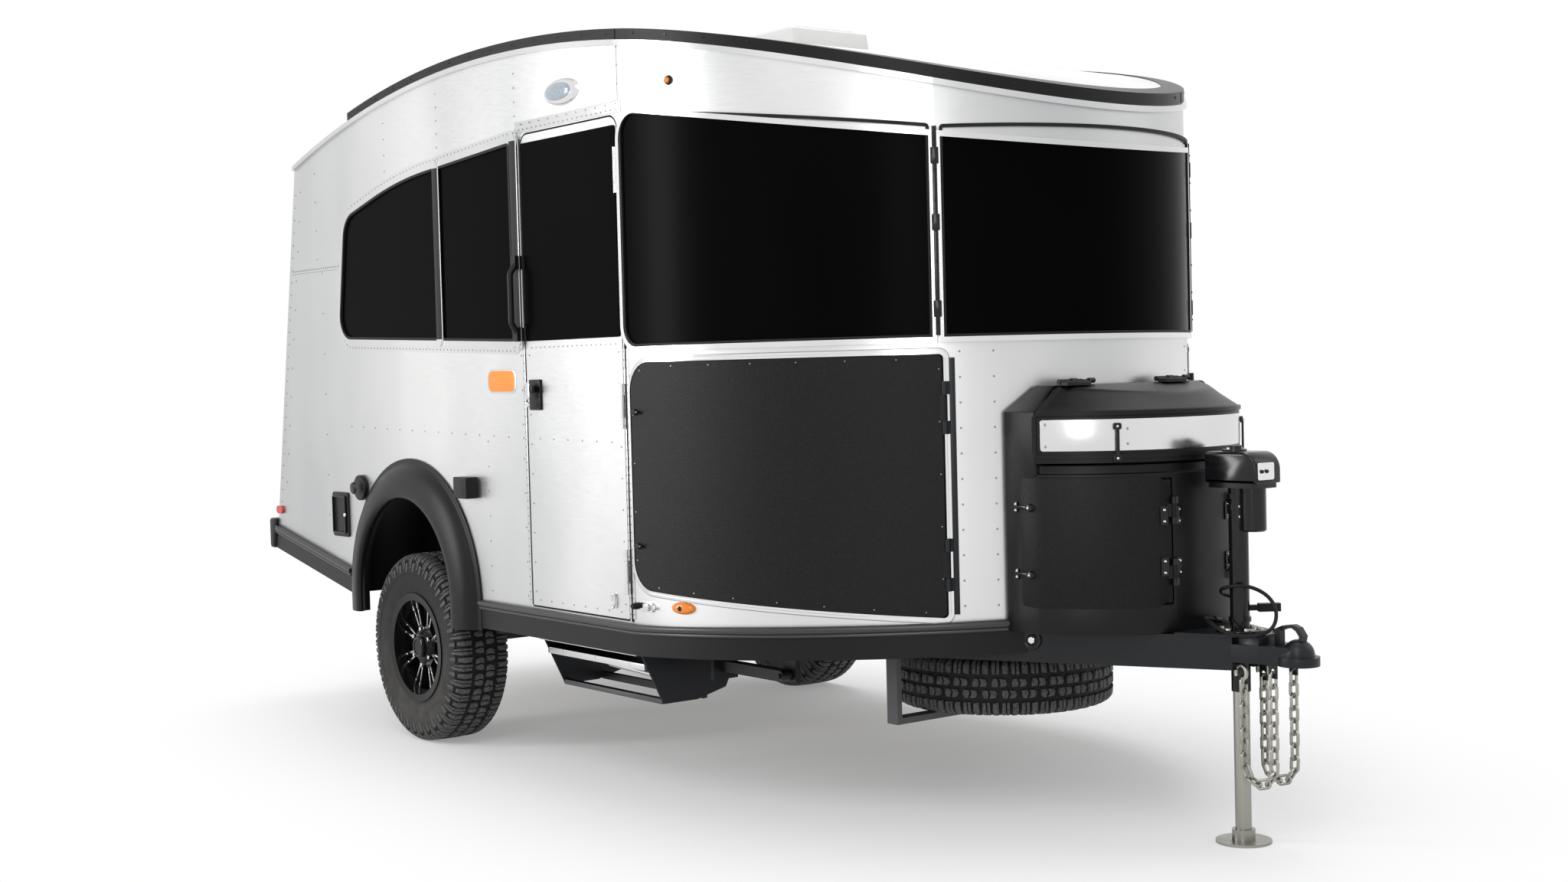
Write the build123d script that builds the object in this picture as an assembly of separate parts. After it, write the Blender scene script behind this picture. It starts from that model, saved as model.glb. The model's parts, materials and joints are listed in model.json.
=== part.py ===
"""Travel trailer: riveted aluminium body on a single-axle chassis, a moulded box and a jack on its tongue.

Millimetres. X runs forward to the coupler, Y to the left, Z up from the ground. The model is drawn with the
axle at X = 0 and moved at the end, so that the origin lies on the ground under the middle of the length.
Inner names: station = distance ahead of the axle, inset = distance inside the body's outer skin.
"""
import os
from math import cos, hypot, radians, sin, sqrt, tan

from build123d import *

# Body
HALF_WIDTH = 1010.0
WALL = 40.0
SIDE_END = 1550.0
SIDE_RADIUS = 1449.0
NOSE_TURN = 46.4
SEAM = 1553.0
CREST_STATION = 650.0
CREST_HEIGHT = 2566.0
ROOF_FRONT_RADIUS = 6727.0
ROOF_REAR_RADIUS = 5886.0
ROOF_RISE = 50.0
ROOF_LEDGE = 18.0
TRIM_WIDTH = 70.0
TRIM_PROUD = 4.0
TRIM_REAR = -460.0
CROWN_HALF = 720.0
CROWN_BACK = 160.0
DRIP_PROUD = 12.0
REAR_TOP_STATION = -1000.0
REAR_TOP_DROP = 236.0
REAR_LEAN = 10.97

# Sill: the line where the wall's lower edge meets the rub rail
SILL = 600.0
SILL_KINK = -290.0
SILL_REAR_SLOPE = 0.193
SILL_NOSE_START = 1600.0
SILL_NOSE_SLOPE = 0.048
FLOOR = 40.0
RAIL_BAND = 32.0
RAIL_BAND_PROUD = 16.0
SKIRT_DROP = 105.0
SKIRT_PROUD = 6.0
SKIRT_THICK = 26.0
BUMPER_DEPTH = 92.1
BUMPER_LOW = 690.0
BUMPER_TOP = 822.0
BUMPER_FLAT = 50.0

# Openings and gaps
GAP = 6.0
GLASS = 5.0
GLASS_LAP = 15.0
FRAME_WIDTH = 26.0
FRAME_PROUD = 12.0
FRONT_FRAME_WIDTH = 17.0
FRONT_FRAME_PROUD = 15.0
SEAT = 0.3
CLEAR = 2.0
POST = 44.0
DOOR_REAR = 908.0
DOOR_FRONT = 1546.0
DOOR_HEADROOM = 283.0
DOOR_SILL = 605.0
DOOR_CORNER = 45.0

# Chassis
MAIN_RAIL_Y = 480.0
MAIN_RAIL_WIDTH = 60.0
MAIN_RAIL_DEPTH = 100.0
MAIN_RAIL_REAR = -1230.0
MAIN_RAIL_FRONT = 2440.0
TONGUE_TOP = 620.0
TONGUE_DEPTH = 100.0
TONGUE_WIDTH = 50.0
TONGUE_ANGLE = 27.0
TONGUE_END = 3300.0
CROSS_WIDTH = 60.0
CROSS_DEPTH = 80.0
CROSS_STATIONS = (-1120.0, -520.0, 430.0, 1100.0, 1700.0)

# Wheels and axle
TYRE_RADIUS = 370.0
TYRE_WIDTH = 235.0
WHEEL_Y = 909.5
BEAD_RADIUS = 200.0
SPINDLE = 20.0
BEARING = 0.05
ARCH_HEIGHT = 575.0
ARCH_RADIUS = 470.0
WELL_INNER = 735.0
WELL_SKIN = 6.0
FLARE_OUTER = 540.0
FLARE_LIP = 385.0
FLARE_PROUD = 60.0
FLARE_FOOT = 485.0
TORSION_STATION = 170.0
TORSION_HEIGHT = 430.0
TORSION_SIZE = 76.0

# Coupler and jack
BALL_STATION = 3480.0
BALL_RADIUS = 25.8
BALL_DEPTH = 30.0
COUPLER_TIP = 3540.0
COUPLER_LIP = 26.0
DOME = 46.0
COUPLER_LOW = 545.0
JACK_STATION = 3270.0
JACK_TUBE = 28.5
JACK_LEG = 24.0
JACK_LOW = 449.0
JACK_HEAD_LOW = 1050.0
JACK_HEAD_TOP = 1157.0
JACK_FOOT = 82.0
PLATE = 6.0

# Front box
BOX_HALF = 420.0
BOX_ARC_STATION = 2700.0
BOX_ARC = 447.0
BOX_WALL = 10.0
BOX_BACK = 2856.0
BOX_GROOVE_LOW = 1097.0
BOX_LID_LOW = 1130.0
BOX_SHOULDER = 1284.0
BOX_TOP = 1360.0
BOX_CHAMFER = 50.0
BOX_GROOVE = 18.0
BOX_DOOR_LOW = 712.0
BOX_DOOR_TOP = 1075.0
BOX_DOOR_REAR = 2806.0
BOX_DOOR_TURN = 17.0

# Hinges
PIN = 4.0
KNUCKLE = 8.0
LEAF = 4.0
LEAF_DEPTH = KNUCKLE + LEAF + 3.0
LEAF_REACH = 22.0
HATCH_HINGE, REAR_HINGE, DOOR_HINGE, LID_HINGE, BOX_HINGE = 160.0, 120.0, 150.0, 100.0, 80.0

# Spare wheel
SPARE_STATION = 2260.0
SPARE_RADIUS = 365.0
SPARE_WIDTH = 190.0
SPARE_HEIGHT = 400.0

# Corner steadies
STEADY_Y = 700.0
STEADY_LEG = 40.0
STEADY_PIN = 8.0

FAR = 4000.0

# Heights that hang from the crest of the roof
rear_top_height = CREST_HEIGHT - REAR_TOP_DROP
door_top = CREST_HEIGHT - DOOR_HEADROOM

# Derived places
side_centre_y = SIDE_RADIUS - HALF_WIDTH
corner_station = SIDE_END + SIDE_RADIUS * sin(radians(NOSE_TURN))
corner_y = SIDE_RADIUS * cos(radians(NOSE_TURN)) - side_centre_y
nose_radius = corner_y / cos(radians(NOSE_TURN))
nose_station = corner_station - nose_radius * sin(radians(NOSE_TURN))
nose_tip = nose_station + nose_radius


def rear_station(height, inset=0.0):
    lean = radians(REAR_LEAN)
    return REAR_TOP_STATION - (rear_top_height - height) * tan(lean) + inset / cos(lean)


bumper_end = rear_station(BUMPER_LOW) - BUMPER_DEPTH
middle = (COUPLER_TIP + bumper_end) / 2


def sill_height(station):
    if station < SILL_KINK:
        return SILL + (SILL_KINK - station) * SILL_REAR_SLOPE
    return SILL + max(0.0, station - SILL_NOSE_START) * SILL_NOSE_SLOPE


def roof_height(station, rise=0.0):
    radius = (ROOF_FRONT_RADIUS if station > CREST_STATION else ROOF_REAR_RADIUS) + rise
    reach = station - CREST_STATION
    return CREST_HEIGHT + rise - radius + sqrt(radius * radius - reach * reach)


def skin_y(station, inset=0.0):
    """Half-width of the body at a station."""
    if station < SIDE_END:
        return HALF_WIDTH - inset
    if station < corner_station:
        radius = SIDE_RADIUS - inset
        return sqrt(radius * radius - (station - SIDE_END) ** 2) - side_centre_y
    radius = nose_radius - inset
    return sqrt(max(0.0, radius * radius - (station - nose_station) ** 2))


def box(x0, x1, y0, y1, z0, z1):
    return Pos((x0 + x1) / 2, (y0 + y1) / 2, (z0 + z1) / 2) * Box(x1 - x0, y1 - y0, z1 - z0)


def rod(start, end, radius):
    start = Vector(start)
    along = Vector(end) - start
    disc = Plane(origin=start, z_dir=along) * Circle(radius)
    return extrude(disc, amount=along.length, dir=along)


def side_prism(outline, y0, y1):
    """A face drawn in the side view, made solid from y0 to y1."""
    return Pos(0, y0, 0) * extrude(outline, amount=y1 - y0, dir=(0, 1, 0))


def side_outline(points, radii=None):
    corners = [(x, 0, z) for x, z in points]
    if radii is None:
        return make_face(Polyline(*corners, close=True).edges())
    return make_face(FilletPolyline(*corners, radius=list(radii), close=True).edges())


def both_sides(right):
    return [right, mirror(right, about=Plane.XZ)]


def plan_face(inset):
    """The body's outline seen from above, drawn well past the leaning rear wall."""
    side = HALF_WIDTH - inset
    r_side = SIDE_RADIUS - inset
    r_nose = nose_radius - inset
    half, full = radians(NOSE_TURN / 2), radians(NOSE_TURN)
    mid = (SIDE_END + r_side * sin(half), side_centre_y - r_side * cos(half))
    corner = (SIDE_END + r_side * sin(full), side_centre_y - r_side * cos(full))
    back = REAR_TOP_STATION * 2
    edges = [
        Line((back, -side), (SIDE_END, -side)),
        ThreePointArc((SIDE_END, -side), mid, corner),
        ThreePointArc(corner, (nose_station + r_nose, 0), (corner[0], -corner[1])),
        ThreePointArc((corner[0], -corner[1]), (mid[0], -mid[1]), (SIDE_END, side)),
        Line((SIDE_END, side), (back, side)),
        Line((back, side), (back, -side)),
    ]
    return make_face([edge.edge() for edge in edges])


def column(inset, low=0.0, high=FAR):
    return Pos(0, 0, low) * extrude(plan_face(inset), amount=high - low, dir=(0, 0, 1))


def ring(outer_inset, inner_inset, low=0.0, high=FAR):
    return column(outer_inset, low, high) - column(inner_inset, low, high)


def under_roof(rise):
    """Everything below the roof's curve, raised by rise."""
    x0, x1 = 1.4 * REAR_TOP_STATION, nose_tip + WALL
    crest = (CREST_STATION, 0, CREST_HEIGHT + rise)
    rear_mid, front_mid = (x0 + CREST_STATION) / 2, (x1 + CREST_STATION) / 2
    ends = [(x, 0, roof_height(x, rise)) for x in (x0, rear_mid, front_mid, x1)]
    edges = [
        Line((x0, 0, 0), (x1, 0, 0)),
        Line((x1, 0, 0), ends[3]),
        ThreePointArc(ends[3], ends[2], crest),
        ThreePointArc(crest, ends[1], ends[0]),
        Line(ends[0], (x0, 0, 0)),
    ]
    return side_prism(make_face([edge.edge() for edge in edges]), -FAR / 2, FAR / 2)


def above_sill(rise):
    """Everything above the sill line, raised by rise."""
    x0, x1 = 2 * REAR_TOP_STATION, nose_tip + WALL
    points = [(x, sill_height(x) + rise) for x in (x0, SILL_KINK, SILL_NOSE_START, x1)]
    return side_prism(side_outline(points + [(x1, FAR), (x0, FAR)]), -FAR / 2, FAR / 2)


def ahead_of_rear(inset):
    """Everything ahead of the leaning rear plane, moved forward by inset."""
    points = [(rear_station(0, inset), 0), (FAR, 0), (FAR, FAR), (rear_station(FAR, inset), FAR)]
    return side_prism(side_outline(points), -FAR / 2, FAR / 2)


def sill_band(rise_low, rise_high):
    return above_sill(rise_low) - above_sill(rise_high)


def hinge(foot, along, length, leaf_to, door_to):
    """Fixed and moving halves of a hinge: a pin held at both ends, and the knuckle that turns on it.

    leaf_to and door_to are points that the two leaves reach, beside the hinge's middle.
    """
    foot, along = Vector(foot), Vector(along).normalized()
    end_length = length / 4
    fixed = rod(foot, foot + along * length, PIN)
    for low in (0.0, length - end_length):
        barrel = rod(foot + along * low, foot + along * (low + end_length), KNUCKLE)
        fixed += barrel + leaf(foot + along * low, along, end_length, Vector(leaf_to))
    low, high = end_length + 1.0, length - end_length - 1.0
    start = foot + along * low
    moving = rod(start, foot + along * high, KNUCKLE) + leaf(start, along, high - low, Vector(door_to))
    moving -= rod(foot - along, foot + along * (length + 1.0), PIN + BEARING)
    return fixed, moving


def leaf(start, along, length, reach):
    """A flat strip from a knuckle's axis to the point reach, as long as the knuckle."""
    offset = reach - (start + along * (reach - start).dot(along))
    across = offset.normalized()
    plane = Plane(origin=start, x_dir=across, z_dir=along)
    strip = plane * Pos(offset.length / 2, 0, 0) * Rectangle(offset.length, LEAF)
    return extrude(strip, amount=length, dir=along)


# Body panels
body_limits = under_roof(0) & above_sill(0) & ahead_of_rear(0)
wall_ring = ring(0, WALL) & body_limits
arch = Pos(0, 0, ARCH_HEIGHT) * Rot(90, 0, 0) * Cylinder(ARCH_RADIUS, 2 * HALF_WIDTH + WALL)
arch += box(-ARCH_RADIUS, ARCH_RADIUS, -HALF_WIDTH - WALL, HALF_WIDTH + WALL, 0, ARCH_HEIGHT)
arch -= box(-FAR, FAR, -WELL_INNER, WELL_INNER, 0, FAR)

flare_clear = FLARE_OUTER + CLEAR
flare_room = Pos(0, 0, ARCH_HEIGHT) * Rot(90, 0, 0) * Cylinder(flare_clear, FAR)
flare_room += box(-flare_clear, flare_clear, -FAR / 2, FAR / 2, 0, ARCH_HEIGHT)
flare_room -= box(-FAR, FAR, -HALF_WIDTH, HALF_WIDTH, 0, FAR)


def tongue_bar(grow):
    """The right rail of the tongue, grown all round by a clearance."""
    run = (TONGUE_END - MAIN_RAIL_FRONT) / cos(radians(TONGUE_ANGLE)) + 2 * TONGUE_WIDTH
    half = TONGUE_WIDTH / 2 + grow
    bar = box(-TONGUE_WIDTH, run, -half, half, TONGUE_TOP - TONGUE_DEPTH - grow, TONGUE_TOP + grow)
    return Pos(MAIN_RAIL_FRONT, -MAIN_RAIL_Y - 5, 0) * Rot(0, 0, TONGUE_ANGLE) * bar


tongue_room = tongue_bar(CLEAR)
tongue_room += mirror(tongue_room, about=Plane.XZ)

# Side windows: corner points seen from the side (station, height) with the radius of each corner
BAND_DROP, BAND_DEEP = 310.0, 1012.0
band_low = CREST_HEIGHT - BAND_DEEP
band_top = CREST_HEIGHT - BAND_DROP
band_rear = [(-585, band_low + 46), (-505, band_top - 168), (-20, band_top - 56)]
band_rear_radii = [90.0, 110.0, 2800.0]
BAND_RIGHT_FRONT = 850.0
BAND_LEFT_FRONT = 1535.0
MULLIONS = (294.0, 882.0)


def band_outline(front, top):
    points = band_rear + [(front, top), (front, band_low)]
    return side_outline(points, band_rear_radii + [12.0, 12.0])


def grown(face, amount):
    return offset(face, amount=amount, kind=Kind.ARC)


right_band = band_outline(BAND_RIGHT_FRONT, band_top)
left_band = band_outline(BAND_LEFT_FRONT, band_top - 3)
DOOR_GLASS_TALL, DOOR_HEADER = 698.0, 35.0
door_glass_top = door_top - DOOR_HEADER
door_glass_low = door_glass_top - DOOR_GLASS_TALL
door_glass_outline = side_outline(
    [(DOOR_REAR + 14, door_glass_low), (DOOR_FRONT - 14, door_glass_low), (DOOR_FRONT - 14, door_glass_top),
     (DOOR_REAR + 14, door_glass_top)], [10.0] * 4)


def band_cut(outline, posts, y0, y1):
    cut = side_prism(grown(outline, -GLASS_LAP), y0, y1)
    for post in posts:
        cut -= box(post - POST / 2, post + POST / 2, y0, y1, 0, FAR)
    return cut


door_outline = side_outline(
    [(DOOR_REAR + GAP, DOOR_SILL + GAP), (DOOR_FRONT - GAP, DOOR_SILL + GAP),
     (DOOR_FRONT - GAP, door_top - GAP), (DOOR_REAR + GAP, door_top - GAP)],
    [6.0, 6.0, DOOR_CORNER, DOOR_CORNER])
door_hole = side_prism(grown(door_outline, GAP), -HALF_WIDTH - WALL, -HALF_WIDTH + 2 * WALL)
right_half = box(-FAR, SEAM, -FAR, 0, 0, FAR)
left_half = box(-FAR, SEAM, 0, FAR, 0, FAR)
wall_right = (wall_ring & right_half) - arch - door_hole
wall_right -= band_cut(right_band, MULLIONS[:1], -HALF_WIDTH - WALL, -HALF_WIDTH + 2 * WALL)
wall_left = (wall_ring & left_half) - arch
wall_left -= band_cut(left_band, MULLIONS, HALF_WIDTH - 2 * WALL, HALF_WIDTH + WALL)

# Front windows share one side-view outline, split at the mullions by two upright planes
FRONT_WIN_REAR = 1572.0
FRONT_WIN_DROP, FRONT_WIN_DEEP, FRONT_WIN_FALL = 280.0, 1051.0, 208.0
front_win_low = CREST_HEIGHT - FRONT_WIN_DEEP
front_win_top = CREST_HEIGHT - FRONT_WIN_DROP
front_x = nose_tip + WALL
front_window_outline = side_outline(
    [(FRONT_WIN_REAR, front_win_low), (front_x, front_win_low), (front_x, front_win_top - FRONT_WIN_FALL),
     (FRONT_WIN_REAR, front_win_top)], [70.0, 1.0, 1.0, 80.0])
MULLION_HALF = 17.0


def mullions(extra):
    """Upright slabs that part the front windows, square to the skin at the corners."""
    slab = Pos(0, 0, FAR / 2) * Box(6 * WALL, 2 * (MULLION_HALF + extra), FAR)
    turn = 90 - NOSE_TURN
    right = Pos(corner_station, -corner_y, 0) * Rot(0, 0, -turn) * slab
    return right + mirror(right, about=Plane.XZ)


window_prism = side_prism(front_window_outline, -FAR / 2, FAR / 2)
window_hole = side_prism(grown(front_window_outline, -GLASS_LAP), -FAR / 2, FAR / 2) - mullions(GLASS_LAP)
frame_outer = side_prism(grown(front_window_outline, FRONT_FRAME_WIDTH), -FAR / 2, FAR / 2)

# Front lower hatches
HATCH_REAR, HATCH_FRONT, HATCH_TOP = 1588.0, 2606.0, 1461.0
HATCH_LOW_REAR, HATCH_LOW_FRONT = 722.0, 664.0
HATCH_PROUD = 4.0
HATCH_SWING = 30.0
hatch_outline = side_outline(
    [(HATCH_REAR, HATCH_LOW_REAR), (HATCH_FRONT, HATCH_LOW_FRONT), (HATCH_FRONT, HATCH_TOP),
     (HATCH_REAR, HATCH_TOP)], [95.0, 12.0, 12.0, 95.0])
hatch_hole = side_prism(grown(hatch_outline, GAP), -FAR / 2, FAR / 2)
front_zone = box(SEAM, FAR, -FAR, FAR, 0, FAR)
wall_front = (wall_ring & front_zone) - window_hole - hatch_hole

hatch_zone = side_prism(hatch_outline, -FAR / 2, 0)
hatch_right = ring(-HATCH_PROUD, WALL - HATCH_PROUD) & hatch_zone
hatch_y = -skin_y(HATCH_FRONT)
hatch_normal = Vector(HATCH_FRONT - nose_station, hatch_y).normalized()
hatch_axis = Vector(HATCH_FRONT + GAP / 2, -skin_y(HATCH_FRONT + GAP / 2)) + hatch_normal * (KNUCKLE + LEAF)
hatch_along = Vector(-hatch_normal.Y, hatch_normal.X)
hatch_hinges = []
for low in (HATCH_LOW_FRONT + 80, HATCH_TOP - 240):
    foot = Vector(hatch_axis.X, hatch_axis.Y, low)
    ahead = foot + hatch_along * LEAF_REACH - hatch_normal * LEAF_DEPTH
    behind = foot - hatch_along * LEAF_REACH - hatch_normal * LEAF_DEPTH
    fixed, moving = hinge(foot, (0, 0, 1), HATCH_HINGE, ahead, behind)
    hatch_hinges.append(fixed - column(0))
    hatch_right += moving

# Rear wall and its hatch
rear_slab = (ahead_of_rear(0) - ahead_of_rear(WALL)) & under_roof(0) & above_sill(0)
rear_slab &= box(-FAR, 0, -HALF_WIDTH + WALL, HALF_WIDTH - WALL, 0, FAR)
REAR_HATCH_HALF, REAR_HATCH_LOW, REAR_HATCH_DROP = 560.0, 980.0, 546.0
REAR_GLASS_HALF, REAR_GLASS_TALL, REAR_GLASS_MARGIN = 470.0, 370.0, 90.0
rear_hatch_top = CREST_HEIGHT - REAR_HATCH_DROP
rear_glass_top = rear_hatch_top - REAR_GLASS_MARGIN
rear_glass_low = rear_glass_top - REAR_GLASS_TALL
rear_plane = Plane(origin=(rear_station(0), 0, 0), x_dir=(0, 1, 0),
                   z_dir=(-cos(radians(REAR_LEAN)), 0, sin(radians(REAR_LEAN))))
slant = 1 / cos(radians(REAR_LEAN))


def rear_panel(half, low, top, corner, out_from, out_to):
    """A rounded panel parallel to the rear wall, from one distance behind its skin to another."""
    middle_up = (low + top) / 2 * slant
    sketch = Pos(0, -middle_up) * RectangleRounded(2 * half, (top - low) * slant, corner)
    return extrude(rear_plane.offset(out_from) * sketch, amount=out_to - out_from, dir=rear_plane.z_dir)


REAR_HATCH_CORNER, REAR_GLASS_CORNER = 54.0, 40.0
wall_rear = rear_slab - rear_panel(REAR_HATCH_HALF + GAP, REAR_HATCH_LOW - GAP, rear_hatch_top + GAP,
                                   REAR_HATCH_CORNER + GAP, -2 * WALL, WALL)
rear_hatch = rear_panel(REAR_HATCH_HALF, REAR_HATCH_LOW, rear_hatch_top, REAR_HATCH_CORNER, -WALL, 0)
rear_hatch -= rear_panel(REAR_GLASS_HALF - GLASS_LAP, rear_glass_low + GLASS_LAP, rear_glass_top - GLASS_LAP,
                         REAR_GLASS_CORNER - GLASS_LAP, -2 * WALL, WALL)
rear_glass = rear_panel(REAR_GLASS_HALF, rear_glass_low, rear_glass_top, REAR_GLASS_CORNER, 0, GLASS)
rear_axis_z = rear_hatch_top + GAP / 2
rear_out = rear_plane.z_dir
rear_axis = Vector(rear_station(rear_axis_z), 0, rear_axis_z) + rear_out * (KNUCKLE + LEAF)
rear_up = Vector(sin(radians(REAR_LEAN)), 0, cos(radians(REAR_LEAN)))
rear_hinges = []
for y in (-400.0, 280.0):
    foot = Vector(rear_axis.X, y, rear_axis.Z)
    above = foot + rear_up * LEAF_REACH - rear_out * LEAF_DEPTH
    below = foot - rear_up * LEAF_REACH - rear_out * LEAF_DEPTH
    fixed, moving = hinge(foot, (0, 1, 0), REAR_HINGE, above, below)
    rear_hinges.append(fixed - ahead_of_rear(0))
    rear_hatch += moving
REAR_PULL, PULL_HALF, PULL_RISE = 50.0, 90.0, 22.0
pull_height = REAR_HATCH_LOW + REAR_PULL
pull_low, pull_top = pull_height - PULL_RISE, pull_height + PULL_RISE
rear_hatch += rear_panel(PULL_HALF, pull_low, pull_top, PULL_RISE - 2, 0, PULL_RISE)

# Roof
roof_panel = (column(0) & (under_roof(ROOF_LEDGE) - under_roof(0)) & ahead_of_rear(0))
crown = column(TRIM_WIDTH) & (under_roof(ROOF_RISE) - under_roof(ROOF_LEDGE)) & ahead_of_rear(CROWN_BACK)
rear_edges = box(-FAR, TRIM_REAR, -FAR, FAR, 0, FAR) - box(-FAR, TRIM_REAR, -CROWN_HALF, CROWN_HALF, 0, FAR)
roof_panel += crown - rear_edges
trim_zone = box(TRIM_REAR, FAR, -FAR, FAR, 0, FAR)
trim_layer = under_roof(ROOF_RISE + TRIM_PROUD) - under_roof(ROOF_LEDGE)
roof_trim = ring(-TRIM_PROUD, TRIM_WIDTH) & trim_layer & trim_zone
drip_rail = ring(-DRIP_PROUD, 0) & (under_roof(ROOF_LEDGE) - under_roof(0)) & ahead_of_rear(0)

# Floor, rub rail, skirt and bumper
floor_deck = (column(WALL) & sill_band(0, FLOOR) & ahead_of_rear(WALL)) - arch
floor_deck -= hatch_hole & ring(0, WALL + HATCH_SWING)
rub_rail = ring(-RAIL_BAND_PROUD, WALL) & sill_band(-RAIL_BAND, 0)
rub_rail = (rub_rail & ahead_of_rear(0)) - arch - flare_room - tongue_room
belly_skirt = ring(-SKIRT_PROUD, SKIRT_THICK - SKIRT_PROUD) & sill_band(-SKIRT_DROP, -RAIL_BAND)
belly_skirt = (belly_skirt & ahead_of_rear(0)) - arch - flare_room - tongue_room
bumper_outline = side_outline([
    (rear_station(BUMPER_LOW), BUMPER_LOW), (rear_station(BUMPER_TOP), BUMPER_TOP),
    (bumper_end + BUMPER_FLAT, BUMPER_TOP), (bumper_end, BUMPER_TOP - BUMPER_FLAT),
    (bumper_end, BUMPER_LOW + BUMPER_FLAT), (bumper_end + BUMPER_FLAT, BUMPER_LOW)])
bumper_half = HALF_WIDTH + RAIL_BAND_PROUD
rear_bumper = side_prism(bumper_outline, -bumper_half, bumper_half)
bumper_ends = rear_bumper.edges().filter_by(Axis.Z).sort_by(Axis.X)[:2]
rear_bumper = chamfer(bumper_ends, length=BUMPER_FLAT, length2=BUMPER_FLAT)

# Windows
frames, panes = [], []
for outline, outward in ((right_band, -1), (left_band, 1)):
    skin = outward * HALF_WIDTH
    rim = grown(outline, FRAME_WIDTH) - grown(outline, SEAT)
    frames.append(side_prism(rim, *sorted((skin, skin + outward * FRAME_PROUD))))
    panes.append(side_prism(outline, *sorted((skin, skin + outward * GLASS))))
front_frame_ring = ring(-FRONT_FRAME_PROUD, 0) & front_zone
front_pane_ring = ring(-GLASS, 0) & front_zone
front_panes = (front_pane_ring & window_prism) - mullions(SEAT)
frame_inner = side_prism(grown(front_window_outline, SEAT), -FAR / 2, FAR / 2)
front_frames = front_frame_ring & (frame_outer - frame_inner)
front_frames = front_frames + (front_frame_ring & frame_outer & mullions(0)) - mullions(-MULLION_HALF * 0.75)
frames.append(front_frames)
panes.append(front_panes)

# Entry door
entry_door = side_prism(door_outline, -HALF_WIDTH, -HALF_WIDTH + WALL)
DOOR_GLASS_LAP = 27.0
door_light = grown(door_glass_outline, -DOOR_GLASS_LAP)
entry_door -= side_prism(door_light, -HALF_WIDTH - WALL, -HALF_WIDTH + 2 * WALL)
door_glass = side_prism(door_glass_outline, -HALF_WIDTH - GLASS, -HALF_WIDTH)
door_axis = Vector(DOOR_FRONT, -HALF_WIDTH - KNUCKLE - LEAF, 0)
door_hinges = []
for low in (DOOR_SILL + 90, DOOR_SILL + 640, door_top - 260):
    foot = Vector(door_axis.X, door_axis.Y, low)
    ahead = foot + Vector(8, LEAF_DEPTH)
    behind = foot + Vector(-12, LEAF_DEPTH)
    fixed, moving = hinge(foot, (0, 0, 1), DOOR_HINGE, ahead, behind)
    door_hinges.append(fixed - column(0))
    entry_door += moving

# Door handle, as boxes: (from and to along the door, from and to out from the skin, from and to in height)
HANDLE_STATION, HANDLE_DROP = 976.0, 190.0
handle_height = door_glass_low - HANDLE_DROP
handle_table = [(-39, 39, 0, 8, -54, 54), (-30, 30, 22, 34, 8, 34), (-30, -14, 8, 22, 8, 34)]
handle_boxes = [
    box(HANDLE_STATION + x0, HANDLE_STATION + x1, -HALF_WIDTH - out1, -HALF_WIDTH - out0,
        handle_height + low, handle_height + high)
    for x0, x1, out0, out1, low, high in handle_table]
door_handle = handle_boxes[0] + handle_boxes[1:]

GRAB_STATION, GRAB_RISE, GRAB_TALL = 893.0, 25.0, 255.0
grab_low = door_glass_low + GRAB_RISE
grab_top = grab_low + GRAB_TALL
GRAB_OUT, GRAB_BAR, GRAB_BEND, GRAB_SLOPE = 44.0, 11.0, 25.0, 40.0
GRAB_FOOT, GRAB_FOOT_TALL, GRAB_FOOT_OUT = 13.0, 24.0, 18.0
grab_root = -HALF_WIDTH - GLASS - FRAME_PROUD
grab_face = -HALF_WIDTH - GRAB_OUT
grab_path = [(GRAB_STATION, grab_root, grab_low), (GRAB_STATION, grab_face, grab_low + GRAB_SLOPE),
             (GRAB_STATION, grab_face, grab_top - GRAB_SLOPE), (GRAB_STATION, grab_root, grab_top)]
grab_line = FilletPolyline(*grab_path, radius=GRAB_BEND)
grab_handle = sweep(Plane(origin=grab_path[0], z_dir=grab_line % 0) * Circle(GRAB_BAR), path=grab_line)
for end in (grab_low, grab_top):
    grab_handle += box(GRAB_STATION - GRAB_FOOT, GRAB_STATION + GRAB_FOOT,
                       -HALF_WIDTH - FRAME_PROUD - GRAB_FOOT_OUT, -HALF_WIDTH,
                       end - GRAB_FOOT_TALL, end + GRAB_FOOT_TALL)

# Wheel wells and flares
well = Pos(0, 0, ARCH_HEIGHT) * Rot(90, 0, 0) * Cylinder(ARCH_RADIUS - 2 * SEAT, 2 * HALF_WIDTH)
well -= Pos(0, 0, ARCH_HEIGHT) * Rot(90, 0, 0) * Cylinder(ARCH_RADIUS - WELL_SKIN, 2 * HALF_WIDTH)
WELL_DROP = 20.0
well &= box(-FAR, FAR, -HALF_WIDTH, -WELL_INNER - SEAT, ARCH_HEIGHT - WELL_DROP, FAR)
inner_disc = Rot(90, 0, 0) * Cylinder(ARCH_RADIUS - WELL_SKIN / 2, WELL_SKIN)
inner_side = Pos(0, -WELL_INNER - SEAT - WELL_SKIN / 2, ARCH_HEIGHT) * inner_disc
well += inner_side & box(-FAR, FAR, -FAR, 0, ARCH_HEIGHT - WELL_DROP, FAR)

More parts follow.
